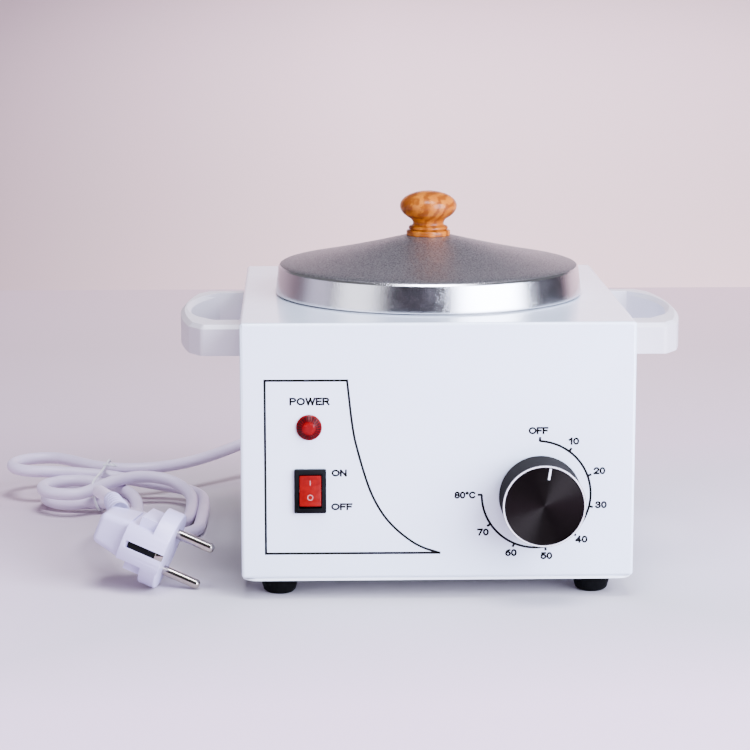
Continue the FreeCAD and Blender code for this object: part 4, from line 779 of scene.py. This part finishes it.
def seam_groove(piece):
    """Draws the plate's upper edge in, so that a seam shows under the shell."""
    shape = bmesh.new()
    shape.from_mesh(piece.data)
    everything = shape.verts[:] + shape.edges[:] + shape.faces[:]
    bmesh.ops.bisect_plane(shape, geom=everything, plane_no=(0.0, 0.0, 1.0),
                           plane_co=(0.0, 0.0, (SHELL_BOTTOM - SEAM_TALL) * MM))
    for vertex in shape.verts:
        spot = vertex.co / MM
        if spot.z > SHELL_BOTTOM - SEAM_TALL / 2:
            if abs(spot.x) > PLATE_EDGE_X:
                vertex.co.x -= math.copysign(SEAM_DEEP, spot.x) * MM
            if abs(spot.y) > PLATE_EDGE_Y:
                vertex.co.y -= math.copysign(SEAM_DEEP, spot.y) * MM
    shape.to_mesh(piece.data)
    shape.free()


def casing():
    shell = dressed("housing_shell", sharp=24.0)
    fold_edge(shell, SHELL_BOTTOM, 0.45)
    give(paint(shell, "shell_white"), "housing", "shell_white", "housing_shell")
    plate = paint(dressed("base_plate"), "plate_white")
    seam_groove(plate)
    give(plate, "housing", "plate_white", "base_plate")
    for corner in ("front_left", "front_right", "rear_left", "rear_right"):
        dress("foot_" + corner, "foot_rubber", soften=0.4)
    for side in ("left", "right"):
        dress("handle_" + side, "handle_plastic", soften=0.9, steps=4, sharp=24.0)


# -------------------------------- pot, well and lid
DOME_EDGE = 74.0


def metalwork():
    dress("wax_pot", "pot_aluminium", "pot", sharp=40.0, flatten=0.2)
    dress("heater_well", "well_aluminium", sharp=40.0, flatten=0.2)

    rim, shoulder, crown, skin = 132.25, 145.0, 160.2, 1.2
    dome = curved((11.4, crown), (58.9, 148.3), (71.9, 147.6), (73.7, 146.0), 22)
    lip = softened([(73.7, 146.0, 0), (74.5, shoulder, 0.5), (76.1, rim, 0)], 4)
    outer = [Vector((2.25, crown))] + dome + lip[1:-1]
    outer += softened([(75.9, rim + 1.6, 0), (76.1, rim, 0.35), (74.9, rim, 0.35), (74.7, rim + 1.6, 0)], 4)
    inner = [Vector((spot.x - skin * 0.3, spot.y - skin * 0.95)) for spot in reversed(dome)]
    profile = outer + [Vector((73.25, shoulder - skin))] + inner + [Vector((2.25, crown - skin))]
    lid = turned("lid_finished", profile, 256, closed=True, sharp=40.0)
    # The dome's finish carries painted shade that the skirt's finish doesn't.
    paint_parts(lid, "lid_aluminium", "skirt_aluminium", lambda middle: middle.xy.length > DOME_EDGE)
    give(lid, "lid", "lid_aluminium", "lid")

    base = crown
    profile = softened([(0.0, base + 17.3, 0), (2.02, base + 17.3, 0), (2.02, base, 0), (10.85, base, 0.5),
                        (10.85, base + 2.6, 0.9), (9.2, base + 2.75, 0.1), (9.0, base + 2.95, 0.1)], 5)
    profile += curved((9.0, base + 2.95), (10.1, base + 3.1), (10.1, base + 4.7), (8.6, base + 4.9), 8)
    profile += curved((8.3, base + 5.1), (7.4, base + 5.3), (7.3, base + 6.6), (8.6, base + 8.0), 8)
    profile += curved((9.3, base + 8.6), (11.4, base + 9.7), (14.1, base + 11.8), (14.1, base + 14.6), 12)
    profile += curved((14.1, base + 14.6), (14.1, base + 18.6), (8.4, base + 22.0), (0.0, base + 22.0),
                      18)[1:]
    knob = paint(turned("lid_knob_finished", profile, 96, sharp=32.0), "knob_wood")
    give(knob, "lid", "knob_wood", "lid_knob")


# -------------------------------- controls
SOCKET_KINDS = {int: "Int", float: "Float", tuple: "Vector", bpy.types.Material: "Material"}


def from_nodes(name, inputs, build):
    """A piece that a Geometry Nodes tree makes: build wires the shape from the inputs (label: value), and
    the one called Finish is put on it."""
    tree = bpy.data.node_groups.new(name + "_tree", "GeometryNodeTree")
    tree.is_modifier = True
    values = {add_socket(tree, label, SOCKET_KINDS[type(value)]).identifier: value
              for label, value in inputs.items()}
    add_socket(tree, "Geometry", "Geometry", "OUTPUT")
    wiring = Wiring(tree)
    given = wiring.node("NodeGroupInput").outputs
    finished = wiring.node("GeometryNodeSetMaterial", {"Geometry": build(wiring, given),
                                                       "Material": given["Finish"]})
    tree.links.new(finished.outputs[0], wiring.node("NodeGroupOutput").inputs["Geometry"])
    piece = linked(name, bpy.data.meshes.new(name))
    modifier = piece.modifiers.new(name, "NODES")
    modifier.node_group = tree
    for identifier, value in values.items():
        modifier[identifier] = value
    return settled(piece)


def repeated(wiring, points, shape, **placing):
    """One real copy of a shape on each point."""
    copies = wiring.node("GeometryNodeInstanceOnPoints", {"Points": points, "Instance": shape, **placing})
    return wiring.node("GeometryNodeRealizeInstances", {0: copies.outputs[0]}).outputs[0]


def bars_round_arc(name, count, radius, start, step, size, finish):
    """A ring of small bars that point outwards, drawn in the XY plane round Z."""
    def build(wiring, given):
        spots = wiring.node("GeometryNodeMeshLine", {"Count": given["Count"], "Offset": (0.0, 0.0, 0.0)})
        index = wiring.node("GeometryNodeInputIndex").outputs[0]
        angle = wiring.sum("ADD", given["Start"], wiring.sum("MULTIPLY", index, given["Step"]))
        across = wiring.sum("MULTIPLY", wiring.sum("SINE", angle), given["Radius"])
        up = wiring.sum("MULTIPLY", wiring.sum("COSINE", angle), given["Radius"])
        place = wiring.vector(X=across, Y=up)
        turn = wiring.vector(Z=wiring.sum("MULTIPLY", angle, -1.0))
        moved = wiring.node("GeometryNodeSetPosition", {"Geometry": spots.outputs[0], "Position": place})
        bar = wiring.node("GeometryNodeMeshCube", {"Size": given["Bar size"]}).outputs[0]
        return repeated(wiring, moved.outputs[0], bar, Rotation=turn)

    return from_nodes(name, {
        "Count": count, "Radius": radius * MM, "Start": math.radians(start), "Step": math.radians(step),
        "Bar size": tuple(number * MM for number in size), "Finish": FINISHES[finish]}, build)


RING_INNER, RING_OUTER = 18.42, 19.15


def dial():
    spot = facing_front(DIAL_X, BOX_FRONT - 0.7, DIAL_Z)
    profile = softened([(0.0, 14.0, 0), (3.02, 14.0, 0), (3.02, 0.0, 0), (7.0, 0.0, 0.2), (7.0, 2.6, 0),
                        (17.35, 2.6, 0), (17.35, 0.0, 0.2), (19.35, 0.0, 0.4), (19.35, 3.0, 0.15),
                        (19.2, 3.3, 0.15), (19.2, 20.05, 0.1), (19.05, 20.3, 0), (0.0, 20.3, 0)], 4)
    knob = paint(move(turned("dial_knob_finished", profile, 160, sharp=40.0), spot), "dial_black")
    give(knob, "dial", "dial_black", "dial_knob")

    profile = softened([(0.0, 20.3, 0), (19.1, 20.3, 0), (19.3, 20.4, 0.1), (19.3, 21.1, 0.1),
                        (19.1, 21.3, 0.1), (18.4, 21.3, 0.05), (18.0, 20.84, 0), (0.0, 20.84, 0)], 3)
    cap = move(turned("dial_cap_finished", profile, 200, sharp=30.0), spot)
    paint_parts(cap, "dial_face", "dial_metal",
                lambda middle: RING_INNER < math.hypot(middle.x - DIAL_X, middle.z - DIAL_Z) < RING_OUTER)
    give(cap, "dial", "dial_black", "dial_cap")
    dress("dial_pointer", "pointer_white", "dial", soften=0.08, steps=2)


PRISM_INNER, PRISM_OUTER = 3.1, 5.5


def lamp():
    """A red lens with a sloping faceted ring round its window, the ring painted a darker red as shade."""
    spot = facing_front(LAMP_X, BOX_FRONT, LAMP_Z)
    profile = softened([(0.0, -3.0, 0), (3.4, -3.0, 0), (3.4, 0.0, 0), (6.0, 0.0, 0.1), (6.0, 0.9, 0.3),
                        (5.5, 1.3, 0.2), (4.0, 2.7, 0.3), (3.2, 3.0, 0.2), (2.0, 3.35, 0.6),
                        (0.0, 3.4, 0)], 3)
    lens = move(turned("lamp_lens_body", profile, 96, sharp=25.0), spot)
    paint_parts(lens, "lamp_red", "lamp_red_painted_shade", lambda middle: middle.y < BOX_FRONT - 0.5
                and PRISM_INNER < math.hypot(middle.x - LAMP_X, middle.z - LAMP_Z) < PRISM_OUTER)
    ribs = bars_round_arc("lamp_facets", 24, 4.4, 0.0, 15.0, (0.3, 2.2, 0.5), "lamp_red")
    for vertex in ribs.data.vertices:
        out = vertex.co.xy.length / MM
        vertex.co.z += (2.18 - (out - 4.4) * 0.9) * MM
    move(ribs, spot)
    give(joined("lamp_lens_finished", [lens, ribs]), "housing", "lamp_red", "lamp_lens")


ROCKER_ANGLE = -6.0
ROCKER_HALF = 7.25
ROCKER_FACE, ROCKER_HOLLOW = 5.7, 0.56
ROCKER_PIN = Vector((SWITCH_X, BOX_FRONT + 2.4, SWITCH_Z))


def rocker_spot(spot, lift):
    """A place on the rocker's hollow face, which is turned about its pin to the on position."""
    dip = ROCKER_HOLLOW * (1.0 - (spot.y / ROCKER_HALF) ** 2)
    local = Vector((spot.x, -ROCKER_FACE + dip - lift, spot.y))
    return (Matrix.Rotation(math.radians(ROCKER_ANGLE), 3, "X") @ local + ROCKER_PIN) * MM


def rocker_marks():
    """The moulded I and O, a little proud of the rocker's face."""
    bar = [(0.0, 2.7 + 0.36 * step) for step in range(7)]
    ring = [(1.2 * math.cos(math.tau * step / 40), -3.1 + 1.2 * math.sin(math.tau * step / 40))
            for step in range(40)]
    marks = [ribbon(bar, 0.42, 0.06, False, rocker_spot, 0.05, "mark_on"),
             ribbon(ring, 0.4, 0.06, True, rocker_spot, 0.05, "mark_off")]
    return [paint(mark, "mark_pale") for mark in marks]


def switch():
    dress("switch_body", "black_plastic", soften=0.25, steps=2)
    rocker = paint(dressed("switch_rocker", 0.45, 4, 20.0), "rocker_red")
    give(joined("switch_rocker_finished", [rocker] + rocker_marks()), "rocker", "rocker_red",
         "switch_rocker")


# -------------------------------- print on the front panel
PRINT_THICK = 0.05
OUTLINE_CURVE = [(-42.09, 104.59), (-40.1, 84.14), (-37.76, 72.31), (-32.34, 54.11), (-26.83, 42.82),
                 (-20.66, 35.03), (-13.11, 28.61), (-6.91, 25.04), (0.65, 22.46)]
ARC_X, ARC_Z = 45.9, 50.15
ARC_RADIUS = 25.5
ARC_START, ARC_STEP = 3.2, 33.35
ARC_TICKS = 9
LINE_WIDE = 1.12
# Each word with its middle, its height and its width
PRINTED_WORDS = [
    ("OFF", 46.61, 80.58, 3.5, 9.3), ("10", 63.24, 75.46, 3.5, 5.0), ("20", 75.38, 61.3, 3.5, 5.6),
    ("30", 76.33, 44.99, 3.5, 5.6), ("40", 67.4, 28.45, 3.5, 5.8), ("50", 51.03, 20.62, 3.5, 5.6),
    ("60", 34.3, 22.22, 3.5, 5.6), ("70", 21.07, 32.22, 3.5, 5.6), ("80°C", 12.52, 50.07, 3.5, 10.0),
    ("POWER", -59.85, 95.0, 3.7, 18.7), ("ON", -46.2, 61.0, 3.4, 7.2), ("OFF", -45.0, 44.9, 3.4, 10.0)]


def smooth_line(points, steps=8):
    """Extra points between the given ones on a flowing line through them all."""
    spots = [Vector(spot) for spot in points]
    spots = [spots[0] * 2 - spots[1]] + spots + [spots[-1] * 2 - spots[-2]]
    line = []
    for index in range(1, len(spots) - 2):
        before, start, end, after = spots[index - 1:index + 3]
        for step in range(steps):
            t = step / steps
            line.append(0.5 * (2 * start + (end - before) * t
                               + (2 * before - 5 * start + 4 * end - after) * t * t
                               + (3 * start - before - 3 * end + after) * t ** 3))
    return line + [spots[-2]]


def front_print():
    pieces = []
    outline = [Vector((-80.5, 22.6)), Vector((-80.6, 104.9))]
    outline += smooth_line([(-42.45, 104.8)] + OUTLINE_CURVE[1:])
    pieces += printed(outline + outline[:1], LINE_WIDE, PRINT_THICK)
    arc = []
    fineness = 96
    for step in range(fineness + 1):
        angle = math.radians(ARC_START + ARC_STEP * (ARC_TICKS - 1) * step / fineness)
        arc.append((ARC_X + ARC_RADIUS * math.sin(angle), ARC_Z + ARC_RADIUS * math.cos(angle)))
    pieces.append(ribbon(arc, LINE_WIDE, PRINT_THICK))
    ticks = bars_round_arc("dial_ticks", ARC_TICKS, ARC_RADIUS + 0.85, ARC_START, ARC_STEP,
                           (LINE_WIDE, 2.2, 0.07), "ink_black")
    pieces.append(move(ticks, facing_front(ARC_X, BOX_FRONT - 0.015, ARC_Z)))
    for word in PRINTED_WORDS:
        pieces += lettering(*word, PRINT_THICK)
    for piece in pieces:
        paint(piece, "ink_black")
    give(joined("panel_print", pieces), "housing", "black_plastic")


# -------------------------------- cord ends and plug
def ribbed_sleeve(name, length, root, tip, ribs, thick, finish):
    """A cone round Z with raised rings along it, from the root's radius to the tip's."""
    def build(wiring, given):
        spaces = wiring.sum("ADD", given["Ribs"], 1.0)
        step = wiring.vector(Z=wiring.sum("DIVIDE", given["Length"], spaces))
        line = wiring.node("GeometryNodeMeshLine", {"Count": given["Ribs"], "Start Location": step,
                                                    "Offset": step})
        index = wiring.node("GeometryNodeInputIndex").outputs[0]
        share = wiring.sum("DIVIDE", wiring.sum("ADD", index, 1.0), spaces)
        shrink = wiring.sum("MULTIPLY", share, wiring.sum("SUBTRACT", given["Root radius"],
                                                          given["Tip radius"]))
        radius = wiring.sum("SUBTRACT", given["Root radius"], shrink)
        size = wiring.vector(X=radius, Y=radius, Z=1.0)
        circle, section = [wiring.node("GeometryNodeCurvePrimitiveCircle", {
            "Resolution": fineness, "Radius": reach}, mode="RADIUS").outputs[0] for fineness, reach in (
                (48, 1.0), (10, given["Rib thickness"]))]
        real = repeated(wiring, line.outputs[0], circle, Scale=size)
        rings = wiring.node("GeometryNodeCurveToMesh", {"Curve": real, "Profile Curve": section})
        cone = wiring.node("GeometryNodeMeshCone", {
            "Vertices": 48, "Side Segments": 8, "Radius Bottom": given["Root radius"],
            "Radius Top": given["Tip radius"], "Depth": given["Length"]})
        both = wiring.node("GeometryNodeJoinGeometry")
        for part in (rings, cone):
            wiring.tree.links.new(part.outputs[0], both.inputs[0])
        return both.outputs[0]

    piece = from_nodes(name, {
        "Length": length * MM, "Root radius": root * MM, "Tip radius": tip * MM, "Ribs": ribs,
        "Rib thickness": thick * MM, "Finish": FINISHES[finish]}, build)
    smoothed(piece.data, 40.0)
    return piece


def gland():
    """The bush in the rear panel and its ribbed strain relief."""
    facing_rear = Matrix.Translation(GLAND_SPOT * MM) @ Matrix.Rotation(math.radians(-90), 4, "X")
    bush = paint(move(turned("gland_bush", softened([
        (3.22, -3.2, 0), (6.8, -3.2, 0.3), (6.8, -1.0, 0.2), (5.4, -1.0, 0), (5.4, 0.0, 0), (8.0, 0.0, 0.3),
        (7.6, 2.2, 0.5), (5.6, 2.2, 0.5), (3.9, 22.0, 0.3), (3.22, 22.0, 0)], 3, closed=True), 64,
        closed=True), facing_rear), "cord_white")
    relief = ribbed_sleeve("gland_relief", 19.6, 5.3, 3.9, 6, 0.55, "cord_white")
    for vertex in relief.data.vertices:
        vertex.co.z += 2.3 * MM
    relief = joined("cord_gland_finished", [bush, move(relief, facing_rear)])
    return give(relief, "housing", "cord_white", "cord_gland")


PLUG_SPOT = Vector((-126.4, -73.0, 17.75))
PLUG_PINS = Vector((0.913, -0.176, -0.369)).normalized()
PLUG_ROW = Vector((0.373, -0.006, 0.928))
PLUG_ROW = (PLUG_ROW - PLUG_PINS * PLUG_ROW.dot(PLUG_PINS)).normalized()
PLUG_SIDE = PLUG_PINS.cross(PLUG_ROW)


def plug_matrix():
    turn = Matrix((PLUG_ROW, PLUG_SIDE, PLUG_PINS)).transposed()
    return Matrix.Translation(PLUG_SPOT * MM) @ turn.to_4x4()


def block(name, low, high, soften, finish):
    """A softened block between two corners in the plug's own frame."""
    shape = bmesh.new()
    bmesh.ops.create_cube(shape, size=1.0)
    for vertex in shape.verts:
        for axis in range(3):
            vertex.co[axis] = (low[axis] if vertex.co[axis] < 0 else high[axis]) * MM
    bmesh.ops.bevel(shape, geom=shape.edges[:], offset=soften * MM, segments=2, affect="EDGES", profile=0.5)
    return paint(linked(name, mesh_of(name, shape, 50.0)), finish)


def plug():
    spot = plug_matrix()
    body = paint(dressed("plug_body", 0.3, 3, 30.0, 0.0), "plug_white")
    root = Vector((6.0, -8.0, -31.0))
    way = spot.inverted() @ (Vector(TAIL_ROUTE[-1]) * MM) / MM - root
    relief = ribbed_sleeve("plug_relief", way.length, 4.9, 3.8, 5, 0.45, "plug_white")
    along = Matrix.Translation(root * MM) @ way.to_track_quat("Z", "Y").to_matrix().to_4x4()
    body = give(joined("plug_body_finished", [body, move(relief, spot @ along)]), "housing", "plug_white",
                "plug_body")
    pins = dress("plug_pins", "pin_nickel", sharp=35.0, flatten=0.2)
    contacts = []
    # The black blocks are painted shade: a dark lining where the clip strips lie back in their shaded
    # slots.
    for name, reach, low, high, finish in (("contact_shade_block", 18.1, -17.9, -3.6, "black_plastic"),
                                           ("contact_spring", 18.4, -3.8, 0.1, "pin_nickel")):
        for side in (-1, 1):
            near, far = sorted((17.62 * side, reach * side))
            contacts.append(move(block(name, (-1.68, near, low), (1.68, far, high), 0.1, finish), spot))
    strips = give(joined("plug_clips_finished", contacts), "housing", "pin_nickel", "plug_clips")
    return [body, pins, strips]


# -------------------------------- inside parts and fasteners
CARRIED = {
    "zinc_steel": "foot_screws foot_nuts handle_screws band_bolt bulb_clips lid_screw lid_washer "
                  "thermostat_screws lamp_clip well_clamp_ring switch_pin",
    "mica_band": "heater_band",
    "glass_fibre": "insulation_sleeve",
    "copper": "capillary_bulb capillary_tube",
    "ceramic": "thermal_fuse terminal_block",
    "brass": "terminal_screws earth_terminal thermostat_shaft",
    "black_plastic": "thermostat_body lamp_body",
    "wire_brown": "wire_live wire_link wire_heater wire_lamp",
    "wire_blue": "wire_neutral wire_return",
    "wire_green": "wire_earth",
}


def dress_all():
    casing()
    metalwork()
    dial()
    lamp()
    switch()
    front_print()
    bush = gland()
    plug_pieces = plug()
    for name, nodes in CARRIED.items():
        for node in nodes.split():
            carry_over(node, name)
    paint(cord, "cord_white")
    give(cord, "housing", "cord_white", "cord_tube", "cord_tail", "cord_hank")
    paint(tie, "tie_white")
    give(tie, "housing", "tie_white", "hank_tie")


dress_all()


# -------------------------------- studio
def card(name, centre, wide, tall, aim, material, shown=True):
    """A flat card that faces the point it is aimed at. One that isn't shown only throws light back."""
    shape = bmesh.new()
    bmesh.ops.create_grid(shape, x_segments=1, y_segments=1, size=0.5)
    for vertex in shape.verts:
        vertex.co = Vector((vertex.co.x * wide, vertex.co.y * tall, 0.0))
    piece = linked(name, mesh_of(name, shape, smooth=False))
    turn = (Vector(aim) - Vector(centre)).to_track_quat("Z", "Y").to_matrix().to_4x4()
    piece.data.transform(Matrix.Translation(centre) @ turn)
    piece.data.materials.append(material)
    piece.visible_camera = shown
    piece.visible_shadow = shown
    return piece


def backdrop(material):
    """Paper that rises gently behind the floor. It stands clear of a camera on any side, and it throws no
    light, because the bounce cards do."""
    line = [(0.898, -0.0004), (1.5, 0.119), (2.1, 0.238), (2.6, 0.38), (3.0, 0.62), (3.3, 1.0), (3.5, 1.6),
            (3.6, 2.6)]
    shape = bmesh.new()
    left, right = [[shape.verts.new((side, *spot)) for spot in line] for side in (-5.0, 5.0)]
    for index in range(len(line) - 1):
        shape.faces.new((left[index], right[index], right[index + 1], left[index + 1]))
    piece = linked("studio_backdrop", mesh_of("studio_backdrop", shape, 80.0))
    piece.data.materials.append(material)
    piece.visible_diffuse = piece.visible_glossy = piece.visible_transmission = piece.visible_shadow = False


def softbox(name, place, aim, size, radiance, tint=(1.0, 1.0, 1.0)):
    """A soft rectangular light, its strength given as the brightness of its face."""
    light = bpy.data.lights.new(name, "AREA")
    light.shape = "RECTANGLE"
    light.size, light.size_y = size
    light.energy = radiance * math.pi * size[0] * size[1]
    light.color = tint
    holder = linked(name, light)
    holder.location = place
    holder.visible_camera = False
    holder.rotation_euler = (Vector(aim) - Vector(place)).to_track_quat("-Z", "Y").to_euler()


def wall_paper_with_painted_shade(name, left, right):
    """Seamless paper that is paler to the right: its darker left is painted shade, where less light falls.
    """
    finish = Finish(name)
    across = finish.wiring.node("ShaderNodeSeparateXYZ", {0: finish.place}).outputs[0]
    tone = finish.wiring.blend(finish.wiring.ramp(across, -0.42, 0.02), colour(*left), colour(*right))
    return finish.set(Base_Color=tone, Roughness=finish.gloss(0.7, 0.8, 2.0), Specular_IOR_Level=0.2)


def floor_paper_with_painted_shade():
    """Seamless paper with painted shade: darker towards the back, where less light falls, and a darker grey
    right beside the casing as a painted shadow round it.
    """
    finish = Finish("studio_floor")
    wiring = finish.wiring
    parts = wiring.node("ShaderNodeSeparateXYZ", {0: finish.place}).outputs
    # Painted shade: the back tone is darker than the front one.
    tone = wiring.blend(wiring.ramp(parts[1], -0.25, 0.6), colour(222, 194, 213), colour(188, 166, 174))
    # Painted shadow: a darker grey tone close round the casing.
    reach = wiring.sum("MAXIMUM", wiring.sum("ABSOLUTE", parts[0]), wiring.sum("ABSOLUTE", parts[1]))
    return finish.set(Base_Color=wiring.blend(wiring.ramp(reach, 0.10, 0.26), colour(184, 178, 182), tone),
                      Roughness=finish.gloss(0.7, 0.8, 2.0), Specular_IOR_Level=0.2)


def studio():
    grey = plain_finish("studio_grey", (170, 165, 170), (166, 161, 166), (0.7, 0.8), (3.0, 0.01))
    dark = plain_finish("studio_dark", (18, 18, 19), (22, 22, 23), (0.7, 0.8), (3.0, 0.01))
    card("studio_floor", (0.0, -1.0, -0.00005), 14.0, 12.0, (0.0, -1.0, 1.0), floor_paper_with_painted_shade())
    # The wall papers' darker left tones are painted shade.
    backdrop(wall_paper_with_painted_shade("studio_backdrop", (176, 150, 152), (236, 202, 200)))
    card("studio_wall", (0.0, 0.9, 0.22), 6.0, 0.46, (0.0, -1.0, 0.22),
         wall_paper_with_painted_shade("studio_wall", (158, 135, 137), (218, 186, 184)), False)
    card("studio_grey_left", (-1.25, 0.05, 0.40), 0.55, 0.80, (0.0, 0.0, 0.40), grey, False)
    card("studio_dark_right", (0.88, 0.19, 0.30), 0.62, 0.60, (0.0, 0.0, 0.30), dark, False)
    card("studio_dark_front", (-0.38, -1.70, 0.60), 1.35, 1.20, (0.0, 0.0, 0.60), dark, False)
    softbox("light_key", (0.80, -0.83, 0.66), (0.0, 0.0, 0.66), (1.02, 1.22), 23.0, (0.90, 0.98, 1.25))
    softbox("light_fill", (-1.0, -0.67, 0.50), (0.0, 0.0, 0.50), (0.69, 0.90), 2.6, (0.95, 0.96, 1.1))
    softbox("light_top", (0.05, -0.42, 1.30), (0.05, -0.42, 0.0), (0.6, 0.5), 28.0, (0.95, 0.98, 1.15))
    softbox("light_wall", (0.12, 0.45, 0.55), (0.08, 0.9, 0.1), (0.30, 0.20), 18.0)
    softbox("light_backdrop", (0.14, 0.95, 0.80), (0.10, 1.7, 0.15), (0.60, 0.30), 9.5,
            (1.0, 0.97, 1.08))
    softbox("light_backdrop_far", (0.12, 1.45, 0.95), (0.10, 2.1, 0.24), (1.0, 0.40), 13.0,
            (1.0, 0.95, 1.25))
    world = bpy.data.worlds.new("studio_world")
    world.use_nodes = True
    sky = world.node_tree.nodes["Background"].inputs
    sky["Color"].default_value, sky["Strength"].default_value = (0.92, 0.92, 1.0, 1.0), 0.2
    bpy.context.scene.world = world


studio()
